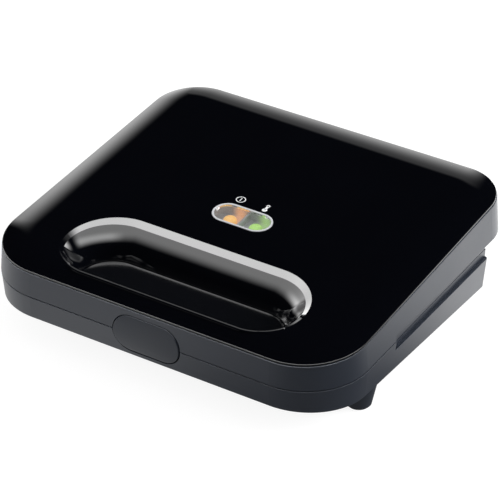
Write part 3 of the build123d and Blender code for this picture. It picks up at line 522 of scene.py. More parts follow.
class Wardrobe:
    """Makes each finish once and hands it out."""

    def __init__(self) -> None:
        """Starts empty."""
        self._made: dict[str, Material] = {}

    def material(self, finish: Finish) -> Material:
        """The material of a finish.

        Args:
            finish: The finish.

        Returns:
            Its material, which is made when it is first asked for.
        """
        if finish.name not in self._made:
            self._made[finish.name] = finish.make()
        return self._made[finish.name]

    def dress(self, names: Iterable[str], finish: Finish) -> None:
        """Gives CAD nodes a finish through their material slots.

        Args:
            names: CAD nodes.
            finish: Finish for all of them.
        """
        for name in names:
            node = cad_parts[name]
            if not node.material_slots:
                node.data.materials.append(None)
            for place in node.material_slots:
                place.material = self.material(finish)
            LOG.info("dressed %s in %s", name, finish.name)


# ---------------------------------------------------------------- meshes


def placed(name: str, data: bpy.types.ID) -> Thing:
    """A linked object.

    Args:
        name: Its name.
        data: Its mesh, lamp or camera.

    Returns:
        The object.
    """
    made = bpy.data.objects.new(name, data)
    bpy.context.scene.collection.objects.link(made)
    return made


def stored(name: str, mesh: Mesh) -> bpy.types.Mesh:
    """Turns a mesh into mesh data.

    Args:
        name: Name of the data.
        mesh: The mesh; it is freed.

    Returns:
        The data.
    """
    data = bpy.data.meshes.new(name)
    mesh.to_mesh(data)
    mesh.free()
    return data


def evaluated(thing: Thing) -> Mesh:
    """The mesh of an object with its modifiers applied.

    Args:
        thing: The object, which stays as it is.

    Returns:
        A mesh of its own.
    """
    data = bpy.data.meshes.new_from_object(thing.evaluated_get(bpy.context.evaluated_depsgraph_get()))
    mesh = bmesh.new()
    mesh.from_mesh(data)
    bpy.data.meshes.remove(data)
    return mesh


def face_outward(mesh: Mesh) -> None:
    """Turns every face outwards.

    Args:
        mesh: Closed mesh.
    """
    bmesh.ops.recalc_face_normals(mesh, faces=mesh.faces)
    if mesh.calc_volume(signed=True) < 0:
        bmesh.ops.reverse_faces(mesh, faces=mesh.faces)


def add_piece(name: str, mesh: Mesh, material: Material, body: Body,
              smooth: float = 35.0, sharp: Sequence[Edge] = ()) -> Thing:
    """Makes an object of a finished mesh and rides it.

    Args:
        name: Name of the piece.
        mesh: Mesh in the press's own frame; it is freed.
        material: Its material.
        body: Body that it moves with.
        smooth: Edges sharper than this angle in degrees stay sharp.
        sharp: Further edges that stay sharp.

    Returns:
        The object.
    """
    face_outward(mesh)
    limit = math.radians(smooth)
    marked = {edge for edge in sharp if edge.is_valid}
    for edge in mesh.edges:
        edge.smooth = edge not in marked and (len(edge.link_faces) != 2 or edge.calc_face_angle() < limit)
    data = stored(name, mesh)
    data.materials.clear()
    data.materials.append(material)
    for face in data.polygons:
        face.use_smooth = True
        face.material_index = 0
    piece = placed(name, data)
    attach(piece, body.value)
    LOG.info("built %s with %d faces on %s", name, len(data.polygons), body.value)
    return piece


class Join(Enum):
    """How a second closed mesh changes the first."""

    ADD = "UNION"
    TAKE = "DIFFERENCE"


def combined(body: Mesh, steps: Sequence[tuple[Join, Mesh]]) -> Mesh:
    """Adds closed meshes to a body and takes others out of it.

    Args:
        body: Closed mesh to begin with; it is freed, and so are the others.
        steps: What is done, in order, and with which mesh.

    Returns:
        The resulting closed mesh.
    """
    def holder(mesh: Mesh) -> Thing:
        """A passing object round a mesh."""
        face_outward(mesh)
        return placed("passing", stored("passing", mesh))

    whole = holder(body)
    tools = []
    for join, mesh in steps:
        tools.append(holder(mesh))
        change = whole.modifiers.new(join.name, "BOOLEAN")
        change.operation, change.solver, change.object = join.value, "EXACT", tools[-1]
    result = evaluated(whole)
    for made in [whole] + tools:
        bpy.data.objects.remove(made)
    bmesh.ops.dissolve_degenerate(result, dist=0.002 * MM, edges=result.edges)
    return result


class Recipe(Shade):
    """A geometry tree with named inputs for its sizes, which puts one shape at every seat."""

    def __init__(self, name: str, sizes: dict[str, float]) -> None:
        """Makes the tree and its inputs.

        Args:
            name: Name of the tree.
            sizes: Every named input with its value, in metres, radians or turns.
        """
        super().__init__(bpy.data.node_groups.new(name, "GeometryNodeTree"))
        board = self.tree.interface
        board.new_socket("Geometry", in_out="INPUT", socket_type="NodeSocketGeometry")
        board.new_socket("Geometry", in_out="OUTPUT", socket_type="NodeSocketGeometry")
        self.sizes = sizes
        self.sockets = {key: board.new_socket(key, in_out="INPUT", socket_type="NodeSocketFloat").identifier
                        for key in sizes}
        self.entry = self.tree.nodes.new("NodeGroupInput")

    def size(self, key: str) -> Value:
        """One of the named inputs."""
        return Value(self, self.entry.outputs[key])

    def spot(self, x: Term, y: Term, z: Term) -> Value:
        """A point or a direction."""
        return self.node("ShaderNodeCombineXYZ", None, {"X": x, "Y": y, "Z": z})

    def moved(self, shape: Value, height: Term) -> Value:
        """A shape moved along its own upright."""
        return self.node("GeometryNodeTransform", None,
                         {"Geometry": shape, "Translation": self.spot(0.0, 0.0, height)})

    def drum(self, sides: int, top: Term, bottom: Term, depth: Term) -> Value:
        """A closed drum or cone that stands on its own origin."""
        return self.node("GeometryNodeMeshCone", None, {
            "Vertices": sides, "Radius Top": top, "Radius Bottom": bottom, "Depth": depth}, "Mesh")

    def joined(self, join: Join, shapes: Sequence[Value], body: Value | None = None) -> Value:
        """Shapes made one, or taken out of a body.

        Args:
            join: Which of the two.
            shapes: The shapes.
            body: What they are taken out of.

        Returns:
            The resulting shape.
        """
        made = self.node("GeometryNodeMeshBoolean", {"operation": join.value, "solver": "EXACT"},
                         {"Mesh 1": body} if body else None, "Mesh")
        for shape in shapes:
            self.tree.links.new(shape.socket, made.socket.node.inputs["Mesh 2"])
        return made

    def swept(self, path: Value, radius: Term, sides: int) -> Value:
        """A closed tube along a curve."""
        profile = self.node("GeometryNodeCurvePrimitiveCircle", {"mode": "RADIUS"},
                            {"Resolution": sides, "Radius": radius}, "Curve")
        return self.node("GeometryNodeCurveToMesh", None, {
            "Curve": path, "Profile Curve": profile, "Fill Caps": True}, "Mesh")

    def grow(self, shape: Value, seats: Sequence[Point], turn: Term, material: Material) -> Mesh:
        """Puts the shape at every seat and turns the result into one plain mesh.

        Args:
            shape: What stands at each seat.
            seats: Where it stands, in millimetres.
            turn: Turn about the x axis.
            material: Material set in the tree.

        Returns:
            The mesh, in metres.
        """
        standing = self.node("GeometryNodeInstanceOnPoints", None, {
            "Points": Value(self, self.entry.outputs["Geometry"]), "Instance": shape,
            "Rotation": self.spot(turn, 0.0, 0.0)}, "Instances")
        real = self.node("GeometryNodeRealizeInstances", None, {"Geometry": standing}, "Geometry")
        dressed = self.node("GeometryNodeSetMaterial", None, {"Geometry": real, "Material": material})
        out = self.tree.nodes.new("NodeGroupOutput")
        self.tree.links.new(dressed.socket, out.inputs["Geometry"])
        data = bpy.data.meshes.new("seats")
        data.from_pydata([tuple(Vector(seat) * MM) for seat in seats], [], [])
        holder = placed("seats", data)
        change = holder.modifiers.new("recipe", "NODES")
        change.node_group = self.tree
        for key, identifier in self.sockets.items():
            change[identifier] = self.sizes[key]
        mesh = evaluated(holder)
        holder.modifiers.remove(change)
        bpy.data.objects.remove(holder)
        return mesh


# ---------------------------------------------------------------- the press


class SubAssembly:
    """Pieces that are built and dressed together."""

    def build(self, wardrobe: Wardrobe) -> None:
        """Makes the pieces and dresses the CAD nodes, which each sub-assembly does for itself.

        Args:
            wardrobe: Hands out the materials.
        """
        raise NotImplementedError


@dataclass(frozen=True)
class ScrewRow(SubAssembly):
    """Cross-recessed screws of one CAD node; sizes in millimetres."""

    node: str
    body: Body
    seats: tuple[Point, ...]
    head: float  # height of the head
    reach: float  # length of the shank under the head
    down: bool = False
    head_radius: float = 3.25
    core_radius: float = 1.15
    pitch: float = 1.1
    thread: float = 0.3
    cross: float = 3.6
    cross_arm: float = 0.24  # width of an arm as a share of the cross
    cross_depth: float = 1.1  # cutter in head heights; half of it goes in
    crown: Pair = (0.82, 0.4)  # crown's share of the radius and of the height
    rim_share: float = 0.65  # full-width share of the height
    sunk: float = 0.2  # share of the head that the shank enters
    threaded: float = 0.86  # share of the shank that is threaded
    head_sides: int = 40
    core_sides: int = 24

    def build(self, wardrobe: Wardrobe) -> None:
        """Makes the screws; each seat is the middle of a head's outer face."""
        recipe = Recipe(self.node, {
            "Head Radius": self.head_radius * MM, "Head Height": self.head * MM,
            "Core Radius": self.core_radius * MM, "Reach": self.reach * MM, "Pitch": self.pitch * MM,
            "Thread": self.thread * MM, "Cross": self.cross * MM, "Turn": math.pi if self.down else 0.0})
        radius, height, core, reach, thread = (recipe.size(key) for key in (
            "Head Radius", "Head Height", "Core Radius", "Reach", "Thread"))
        crown = recipe.drum(self.head_sides, radius, radius * self.crown[0], height * self.crown[1])
        rim = recipe.moved(recipe.drum(self.head_sides, radius, radius, height * self.rim_share),
                           height * (1 - self.rim_share))
        shank = recipe.moved(recipe.drum(self.core_sides, core, core, reach + height * self.sunk),
                             height * (1 - self.sunk))
        spiral = recipe.node("GeometryNodeCurveSpiral", None, {
            "Resolution": 16, "Rotations": reach * self.threaded / recipe.size("Pitch"),
            "Start Radius": core, "End Radius": core, "Height": reach * self.threaded})
        ridge = recipe.moved(recipe.swept(spiral, thread, 4), height + reach * ((1 - self.threaded) / 2))
        whole = recipe.joined(Join.ADD, [crown, rim, shank, ridge])
        width, depth = recipe.size("Cross") * self.cross_arm, height * self.cross_depth
        bars = [recipe.node("GeometryNodeMeshCube", None, {"Size": recipe.spot(x, y, depth)}, "Mesh")
                for x, y in ((recipe.size("Cross"), width), (width, recipe.size("Cross")))]
        cut = recipe.joined(Join.TAKE, bars, whole)
        material = wardrobe.material(STEEL)
        mesh = recipe.grow(cut, self.seats, recipe.size("Turn"), material)
        piece = add_piece(f"{self.node}_made", mesh, material, self.body, smooth=32.0)
        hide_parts(self.node)


def mirrored(*seats: Point) -> tuple[Point, ...]:
    """Each seat and its mirror image on the left."""
    return tuple((side * x, y, z) for x, y, z in seats for side in (-1, 1))


def plate_seats(height: float) -> tuple[Point, ...]:
    """Seats of a cooking plate's screws at a height."""
    return mirrored((88.0, -20.0, height), (88.0, 56.0, height))


SCREWS = (
    ScrewRow("cover_screws", Body.BASE, mirrored((82.0, -82.0, 17.374), (107.4, 34.0, 7.862)), 1.3, 10.0),
    ScrewRow("panel_screws", Body.LID, mirrored((92.0, -66.0, 34.3), (109.2, 50.0, 30.5)), 0.65, 10.0),
    ScrewRow("lower_plate_screws", Body.BASE, plate_seats(15.25), 1.3, 6.85),
    ScrewRow("upper_plate_screws", Body.LID, plate_seats(45.25), 1.3, 6.85, down=True))


@dataclass(frozen=True)
class LatchSpring(SubAssembly):
    """Wound wire round the latch pin with one straight leg; sizes in millimetres."""

    seat: Point = (0.0, -102.6, 37.5)
    radius: float = 1.85
    length: float = 5.3
    turns: float = 6.5
    wire: float = 0.35
    leg: float = 3.5
    coil_share: float = 0.9  # share of the path that is wound
    leg_share: float = 0.1  # share that is straight
    steps: float = 320.0
    wire_sides: int = 10

    def build(self, wardrobe: Wardrobe) -> None:
        """Sweeps the wire along one path: a helix, then the leg."""
        recipe = Recipe("latch_spring", {
            "Radius": self.radius * MM, "Length": self.length * MM, "Turns": self.turns,
            "Wire": self.wire * MM, "Leg": self.leg * MM, "Steps": self.steps})
        steps = recipe.size("Steps")
        line = recipe.node("GeometryNodeMeshLine", {"mode": "OFFSET"}, {"Count": steps}, "Mesh")
        path = recipe.node("GeometryNodeMeshToCurve", None, {"Mesh": line}, "Curve")
        along = recipe.node("GeometryNodeInputIndex") / (steps - 1.0)
        wound = (along / self.coil_share).least(1.0)
        angle = wound * recipe.size("Turns") * (2 * math.pi)
        radius = recipe.size("Radius")
        leg = ((along - self.coil_share) / self.leg_share).most(0.0) * recipe.size("Leg")
        y = radius * recipe.node("ShaderNodeMath", {"operation": "SINE"}, {0: angle}) - leg
        z = 0.0 - radius * recipe.node("ShaderNodeMath", {"operation": "COSINE"}, {0: angle})
        x = (wound - 0.5) * recipe.size("Length")
        path = recipe.node("GeometryNodeSetPosition", None,
                           {"Geometry": path, "Position": recipe.spot(x, y, z)})
        material = wardrobe.material(STEEL)
        wire = recipe.swept(path, recipe.size("Wire"), self.wire_sides)
        mesh = recipe.grow(wire, [self.seat], 0.0, material)
        piece = add_piece("latch_spring_made", mesh, material, Body.LID, smooth=40.0)
        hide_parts("latch_spring")


@dataclass
class Casing(SubAssembly):
    """Moulded casings, feet and everything under them."""

    matt: tuple[str, ...] = ("lid_housing", "base_housing")
    inner: tuple[str, ...] = ("bottom_cover", "cord_gland")

    def build(self, wardrobe: Wardrobe) -> None:
        """Dresses the casings."""
        wardrobe.dress(self.matt, CASING)
        wardrobe.dress(self.inner, INNER)
        feet = [f"{row}_foot_{hand}" for row in ("front", "rear") for hand in ("left", "right")]
        pads = [f"{row}_foot_pad_{hand}" for row in ("front", "rear") for hand in ("left", "right")]
        wardrobe.dress(feet, CASING)
        wardrobe.dress(pads, FEET)
        wardrobe.dress(["hinge_pin_left", "hinge_pin_right", "latch_pin"], STEEL)


@dataclass
class Heating(SubAssembly):
    """Plates and what heats them."""

    def build(self, wardrobe: Wardrobe) -> None:
        """Dresses the plates, elements and inner metalwork."""
        wardrobe.dress(["upper_plate", "lower_plate"], COATING)
        wardrobe.dress(["upper_element", "lower_element"], TUBE)
        wardrobe.dress(["upper_reflector", "lower_reflector"], SHEET)
        wardrobe.dress(["thermostat"], STEEL)
        wardrobe.dress(["terminal_block", "thermal_fuse"], TERMINAL)


@dataclass
class RimPlane:
    """Sloping plane of the lid's rim, which carries the panel; sizes in millimetres."""

    height: float = 53.85
    slope: float = 0.044

    def point(self, x: float, y: float, z: float) -> Vector:
        """A point given by its place on the plane and its height over it.

        Args:
            x: Place across the lid.
            y: Place along the plane.
            z: Height over the plane.

        Returns:
            The point in the press's frame, in metres.
        """
        length = math.hypot(1.0, self.slope)
        c, s = 1.0 / length, self.slope / length
        return Vector((x, y * c - z * s, self.height + y * s + z * c)) * MM


def arc(centre: Spot, radius: float, start: float, sweep: float, steps: int) -> list[Spot]:
    """Points of an arc in plan.

    Args:
        centre: Middle of the arc.
        radius: Its radius.
        start: Angle of its first point in degrees.
        sweep: Degrees from the first point to the last.
        steps: Number of chords.

    Returns:
        The points, both ends included.
    """
    turns = [math.radians(start + sweep * i / steps) for i in range(steps + 1)]
    return [(centre[0] + radius * math.cos(t), centre[1] + radius * math.sin(t)) for t in turns]


def circle(centre: Spot, radius: float, steps: int) -> list[Spot]:
    """Points of a full circle in plan."""
    return arc(centre, radius, 0, 360, steps)[:-1]


def rounded_outline(half_front: float, half_rear: float, y_front: float, y_rear: float, radius_front: float,
                    radius_rear: float, steps: int = 20, side: int = 8) -> list[Spot]:
    """Rounded outline, counter-clockwise from the front left, with the same number of points every time.

    Args:
        half_front: Half width in front.
        half_rear: Half width behind.
        y_front: Front edge.
        y_rear: Rear edge.
        radius_front: Front corner radius.
        radius_rear: Rear corner radius.
        steps: Chords in each corner.
        side: Pieces that each straight side is cut into.

    Returns:
        The points in plan.
    """
    rf, rr = radius_front, radius_rear
    arcs = [arc(centre, radius, start, 90, steps) for centre, radius, start in (
        ((-half_front + rf, y_front + rf), rf, 180), ((half_front - rf, y_front + rf), rf, 270),
        ((half_rear - rr, y_rear - rr), rr, 0), ((-half_rear + rr, y_rear - rr), rr, 90))]
    points = []
    for i, corner in enumerate(arcs):
        points += corner
        last, first = corner[-1], arcs[(i + 1) % 4][0]
        points += [(last[0] + (first[0] - last[0]) * k / side, last[1] + (first[1] - last[1]) * k / side)
                   for k in range(1, side)]
    return points


class Skin:
    """A mesh built from closed rings of points."""

    def __init__(self) -> None:
        """Starts empty."""
        self.mesh = bmesh.new()

    def ring(self, points: Iterable[Vector]) -> list[Vert]:
        """Adds one ring of vertices."""
        return [self.mesh.verts.new(p) for p in points]

    def bridge(self, first: Sequence[Vert], second: Sequence[Vert]) -> None:
        """Joins two rings with quads.

        Args:
            first: One ring.
            second: Another with as many vertices.
        """
        for i in range(len(first)):
            j = (i + 1) % len(first)
            self.mesh.faces.new((first[i], first[j], second[j], second[i]))

    def close(self, rings: Sequence[Sequence[Vert]]) -> None:
        """Joins rings in a row and caps both ends.

        Args:
            rings: The rings, each with as many vertices.
        """
        for first, second in zip(rings, rings[1:]):
            self.bridge(first, second)
        self.mesh.faces.new(rings[0])
        self.mesh.faces.new(rings[-1])


@dataclass
class TopPanel(SubAssembly):
    """Gloss panel with its rolled edge and the handle recess; sizes in millimetres."""

    rim: RimPlane
    half: Pair = (118.0, 118.0)  # half widths in front and behind
    reach: Pair = (-108.75, 109.25)  # front and rear edges
    radii: Pair = (39.2, 31.0)  # corners in front and behind
    seam: float = 34.0  # height from which the lid's sides lean in
    draft: float = 4.6  # their lean in degrees
    gap: float = 0.6  # from the rim plane to the panel's edge
    reveal: float = 0.3  # how far the edge stands inside the rim's
    lip: float = 0.8  # upright part of the edge
    rise: float = 3.8  # height of the roll
    inset: float = 23.0  # width of the roll
    reach_in: float = 16.0  # width of the solid edge under the roll
    lip_edge: float = 0.35  # rounding between the lip and the roll
    wall: float = 2.4
    recess_half: float = 78.0
    recess_reach: Pair = (-97.0, -39.5)
    recess_radii: Pair = (26.0, 31.0)
    tightening: Pair = (0.43, 0.75)  # what each corner's radius loses as the back comes in
    recess_steps: tuple[int, int] = (36, 12)  # chords in a corner, pieces of a side
    chamfer: Triple = (4.3, 2.6, 1.3)  # its width at the back, at the sides and in front
    chamfer_slope: float = 0.54  # its drop for each millimetre of width
    bowl: Triple = (16.0, 13.0, 3.0)  # how far the wall comes in at the same three places
    bowl_floor: float = 37.3
    bowl_wall: float = 1.8
    bowl_roll: float = 1.5  # power that rolls the wall over
    bowl_start: float = 0.75  # share of the chamfer that the wall's outside leaves off
    spare: float = 4.0  # how far the cutter goes on past the recess
    margin: float = 1.0  # how far from the recess its mouth is looked for
    bowl_steps: int = 20
    roll_steps: int = 12
    lip_steps: int = 5
    mouth_edge: float = 1.9  # width of the soft edge at the mouth
    mouth_sides: Triple = (0.2, 0.93, 0.95)  # upright part of the lower face, least and most, and of the top
    mouth_angle: float = 10.0  # least angle between the two in degrees
    sharp_over: float = 8.5  # angle in degrees over which an edge stays sharp
    lens: Triple = (-7.7, 38.4, 18.4)  # middle, length and width of the window
    tongue: Triple = (2.9, 4.5, 3.0)  # insets of its two sides, and its depth
    posts: tuple[tuple[float, ...], ...] = ((92.0, -66.0, 36.1, 3.3), (109.2, 50.0, 35.0, 1.3))
    post_radius: float = 3.5
    post_bore: float = 1.5
    post_depth: float = 11.0
    round_steps: int = 32

    @property
    def top(self) -> float:
        """Height of the flat top over the rim plane."""
        return self.gap + self.lip + self.rise

    def plan(self, inset: float) -> list[Spot]:
        """Outline of the lid at its rim.

        Args:
            inset: How far it is moved inwards.

        Returns:
            The points in plan.
        """
        lean = math.tan(math.radians(self.draft))
        front, rear = (lean * (self.rim.height + self.rim.slope * y - self.seam) for y in self.reach)
        return rounded_outline(self.half[0] - front - inset, self.half[1] - rear - inset,
                               self.reach[0] + front + inset, self.reach[1] - rear - inset,
                               self.radii[0] - front - inset, self.radii[1] - rear - inset)

    def recess_plan(self, insets: Sequence[float], grow: float) -> list[Spot]:
        """Outline of the recess, moved inwards.

        Args:
            insets: How far it is moved at the back, at the sides and in front.
            grow: How far it stands outside the recess.

        Returns:
            The points in plan.
        """
        back, side, front = insets
        half = self.recess_half - side + grow
        first, last = self.recess_reach[0] + front - grow, self.recess_reach[1] - back + grow
        radii = (radius - tight * back + grow for radius, tight in zip(self.recess_radii, self.tightening))
        return rounded_outline(half, half, first, last, *radii, *self.recess_steps)

    def recess_ring(self, skin: Skin, insets: Sequence[float], chamfer: float, wall: float, grow: float,
                    lift: float = 0.0) -> list[Vert]:
        """One ring of the recess.

        Args:
            skin: Mesh that takes the ring.
            insets: How far it has come in at the back, at the sides and in front.
            chamfer: Share of the chamfer's drop, which is greatest at the back.
            wall: Share of the wall's drop; the ring is along the panel at 0 and level at 1.
            grow: How far it stands outside the recess.
            lift: How far it is raised.

        Returns:
            Its vertices.
        """
        first, last = self.recess_reach
        points = []
        for x, y in self.recess_plan(insets, grow):
            share = min(1.0, max(0.0, (y - first) / (last - first)))
            width = self.chamfer[2] + (self.chamfer[0] - self.chamfer[2]) * share
            drop = self.chamfer_slope * width * chamfer
            mouth = self.rim.height + self.top + self.rim.slope * y - drop
            points.append(Vector((x, y, mouth + wall * (self.bowl_floor - mouth) + lift)) * MM)
        return skin.ring(points)

    def recess(self, grow: float, start: float, spare: float) -> Mesh:
        """Solid of the recess: a flat chamfer, then a wall that rolls over.

        Args:
            grow: How far it stands outside the recess.
            start: Share of the chamfer that is left off at the mouth.
            spare: How far it goes on past the mouth and the floor.

        Returns:
            Its closed mesh.
        """
        skin = Skin()
        rings = [self.recess_ring(skin, (0.0, 0.0, 0.0), 0.0, 0.0, grow, spare)] if spare else []
        rings += [self.recess_ring(skin, [inset * share for inset in self.chamfer], share, 0.0, grow)
                  for share in (start, 1.0)]
        for i in range(1, self.bowl_steps + 1):
            step = i / self.bowl_steps
            reach = 1 - (1 - step) ** self.bowl_roll
            insets = [first + (last - first) * reach for first, last in zip(self.chamfer, self.bowl)]
            rings.append(self.recess_ring(skin, insets, 1.0, step, grow))
        if spare:
            rings.append(self.recess_ring(skin, self.bowl, 1.0, 1.0, grow, -spare))
        skin.close(rings)
        return skin.mesh

    def opening(self) -> Mesh:
        """Solid of the window's round-ended opening.

        Returns:
            Its closed mesh.
        """
        y, length, width = self.lens
        radius, reach = width / 2, (length - width) / 2
        right = arc((reach, 0.0), radius, -90, 180, self.round_steps)
        points = right + [(-px, -py) for px, py in right]
        skin = Skin()
        skin.close([skin.ring(self.rim.point(px, y + py, z) for px, py in points)
                    for z in (self.top - 2 * self.wall, self.top + self.wall)])
        return skin.mesh

    def shell(self) -> Mesh:
        """Solid panel with its lip, its circular roll and the tongue under it.

        Returns:
            Its closed mesh.
        """
        radius = (self.inset ** 2 + self.rise ** 2) / (2 * self.rise)
        steep = math.asin(self.inset / radius)
        edge = self.lip_edge
        start = steep - edge * (1 - math.sin(steep)) / radius
        centre = self.top - radius * (1 - math.cos(start)) - edge * math.cos(steep)
        level = [(self.reveal, self.gap)]
        for i in range(self.lip_steps):
            turn = math.pi / 2 + (steep - math.pi / 2) * i / self.lip_steps
            level.append((self.reveal + edge * (1 - math.sin(turn)), centre + edge * math.cos(turn)))
        for i in range(self.roll_steps + 1):
            turn = start * (1 - i / self.roll_steps)
            level.append((self.reveal + self.inset - radius * math.sin(turn),
                          self.top - radius * (1 - math.cos(turn))))
        out, inn, deep = self.tongue
        under = [(self.reach_in, self.top - self.wall), (self.reach_in, self.gap), (inn, self.gap),
                 (inn, -deep), (out, -deep), (out, self.gap)]
        skin = Skin()
        skin.close([skin.ring(self.rim.point(x, y, z) for x, y in self.plan(inset))
                    for inset, z in under + level])
        return skin.mesh

    def post(self, x: float, y: float, foot: float, root: float) -> Mesh:
        """One screw post that hangs from the panel, bored for its screw.

        Args:
            x: Place across the lid.
            y: Place along the lid.
            foot: Height of its lower end.
            root: How far its upper end stands over the rim plane.

        Returns:
            Its closed mesh.
        """
        skin = Skin()
        skin.close([skin.ring(Vector((px, py, z)) * MM for px, py in circle((x, y), radius, self.round_steps))
                    for radius, z in ((self.post_radius, self.rim.height + self.rim.slope * y + root),
                                      (self.post_radius, foot), (self.post_bore, foot),
                                      (self.post_bore, foot + self.post_depth))])
        return skin.mesh

    def build(self, wardrobe: Wardrobe) -> None:
        """Builds the panel as one closed skin with a soft edge round the mouth of the recess."""
        steps = [(Join.ADD, self.recess(self.bowl_wall, self.bowl_start, 0.0))]
        for x, y, foot, root in self.posts:
            steps += [(Join.ADD, self.post(side * x, y, foot, root)) for side in (-1, 1)]
        steps += [(Join.TAKE, self.recess(0.0, 0.0, self.spare)), (Join.TAKE, self.opening())]
        mesh = combined(self.shell(), steps)
        up = self.rim.point(0, 0, 1) - self.rim.point(0, 0, 0)
        up.normalize()

        def sides(edge: Edge) -> list[float]:
            """How far the faces at an edge look along the panel's upright, the steeper one first."""
            return sorted(face.normal.dot(up) for face in edge.link_faces)

        def at_mouth(edge: Edge) -> bool:
            """Whether an edge is where the panel's top meets the recess.

            Args:
                edge: Edge of the panel.

            Returns:
                True at the mouth.
            """
            low, high, level = self.mouth_sides
            spot = (edge.verts[0].co + edge.verts[1].co) / (2 * MM)
            return (len(edge.link_faces) == 2 and abs(spot.x) < self.recess_half + self.margin
                    and self.recess_reach[0] - self.margin < spot.y < self.recess_reach[1] + self.margin
                    and sides(edge)[1] > level and low < sides(edge)[0] < high
                    and edge.calc_face_angle() > math.radians(self.mouth_angle))

        mouth = [edge for edge in mesh.edges if at_mouth(edge)]
        LOG.info("mouth of the recess: %d edges", len(mouth))
        bmesh.ops.bevel(mesh, geom=mouth, offset=self.mouth_edge * MM, offset_type="WIDTH", segments=6,
                        profile=0.5, affect="EDGES", clamp_overlap=False)
        flat = [edge for edge in mesh.edges if len(edge.link_faces) == 2
                and sides(edge)[1] > 0.99999 > sides(edge)[0]]
        piece = add_piece("gloss_panel", mesh, wardrobe.material(PANEL), Body.LID,
                          self.sharp_over, flat)
        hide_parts("lid_top_panel")
        wardrobe.dress(["handle_well"], WELL)


@dataclass
class Signs(SubAssembly):
    """Printed signs over the window, on the panel's top; sizes in millimetres."""

    rim: RimPlane
    top: float = 5.2
    clear: float = 0.005  # gap under the print
    thick: float = 0.04  # height of the print's top
    power: Spot = (-10.2, 7.2)
    power_radius: float = 2.95
    power_bar: float = 1.5
    line: float = 0.48
    heat: Spot = (7.2, 7.2)
    bulb: Pair = (-2.3, 1.55)  # place along the sign, and radius
    stem: Pair = (1.5, 1.5)  # place of its upper end, and width
    eye: Triple = (2.0, 1.15, 0.6)  # place, outer and inner radius of the ring on top
    steps: int = 48

    def build(self, wardrobe: Wardrobe) -> None:
        """Prints a ring with a bar, and a thermometer."""
        skin = Skin()
        self._band(skin, self.power, self.power_radius, self.power_radius - self.line)
        x, y = self.power
        self._stroke(skin, (x, y - self.power_bar), (x, y + self.power_bar), self.line)
        x, y = self.heat
        foot = (x, y + self.bulb[0])
        self._solid(skin, circle(foot, self.bulb[1], self.steps))
        self._stroke(skin, foot, (x, y + self.stem[0]), self.stem[1])
        self._band(skin, (x, y + self.eye[0]), *self.eye[1:])
        add_piece("panel_signs", skin.mesh, wardrobe.material(PRINT), Body.LID, 30.0)

    def _solid(self, skin: Skin, outer: list[Spot], inner: list[Spot] | None = None) -> None:
        """A flat print with a straight edge.

        Args:
            skin: Mesh that takes it.
            outer: Its outline.
            inner: Outline of its hole, if it has one.
        """
        def ends(outline: list[Spot]) -> list[list[Vert]]:
            """An outline at the underside and at the top of the print."""
            return [skin.ring(self.rim.point(x, y, self.top + z) for x, y in outline)
                    for z in (self.clear, self.thick)]

        low, high = ends(outer)
        skin.bridge(low, high)
        if inner is None:
            skin.mesh.faces.new(high)
            skin.mesh.faces.new(list(reversed(low)))
            return
        low_in, high_in = ends(inner)
        skin.bridge(high_in, low_in)
        skin.bridge(high, high_in)
        skin.bridge(low_in, low)

    def _band(self, skin: Skin, centre: Spot, outer: float, inner: float) -> None:
        """Printed ring."""
        self._solid(skin, circle(centre, outer, self.steps), circle(centre, inner, self.steps))

    def _stroke(self, skin: Skin, start: Spot, end: Spot, width: float) -> None:
        """Printed bar.

        Args:
            skin: Mesh that takes it.
            start: Middle of one end.
            end: Middle of the other.
            width: Its width.
        """
        along = Vector((end[0] - start[0], end[1] - start[1])).normalized()
        side = Vector((-along.y, along.x)) * (width / 2)
        a, b = Vector(start), Vector(end)
        self._solid(skin, [tuple(a - side), tuple(b - side), tuple(b + side), tuple(a + side)])


@dataclass
class IndicatorWindow(SubAssembly):
    """Clear window with an amber and a green light behind it."""

    def build(self, wardrobe: Wardrobe) -> None:
        """Dresses the window's parts."""
        # pale colour on the chrome bezel is a painted reflection
        wardrobe.dress(["lens_bezel"], BEZEL_PAINTED_GLINT)
        wardrobe.dress(["lens_window"], WINDOW)
        wardrobe.dress(["lamp_tray"], TRAY)
        wardrobe.dress(["amber_light_guide"], AMBER)
        wardrobe.dress(["green_light_guide"], GREEN)
        wardrobe.dress(["lamp_board"], CIRCUIT)


@dataclass
class Latch(SubAssembly):
    """Round-ended latch on the front."""

    def build(self, wardrobe: Wardrobe) -> None:
        """Dresses the latch."""
        wardrobe.dress(["latch_rocker"], LATCH_FINISH)


# ---------------------------------------------------------------- studio


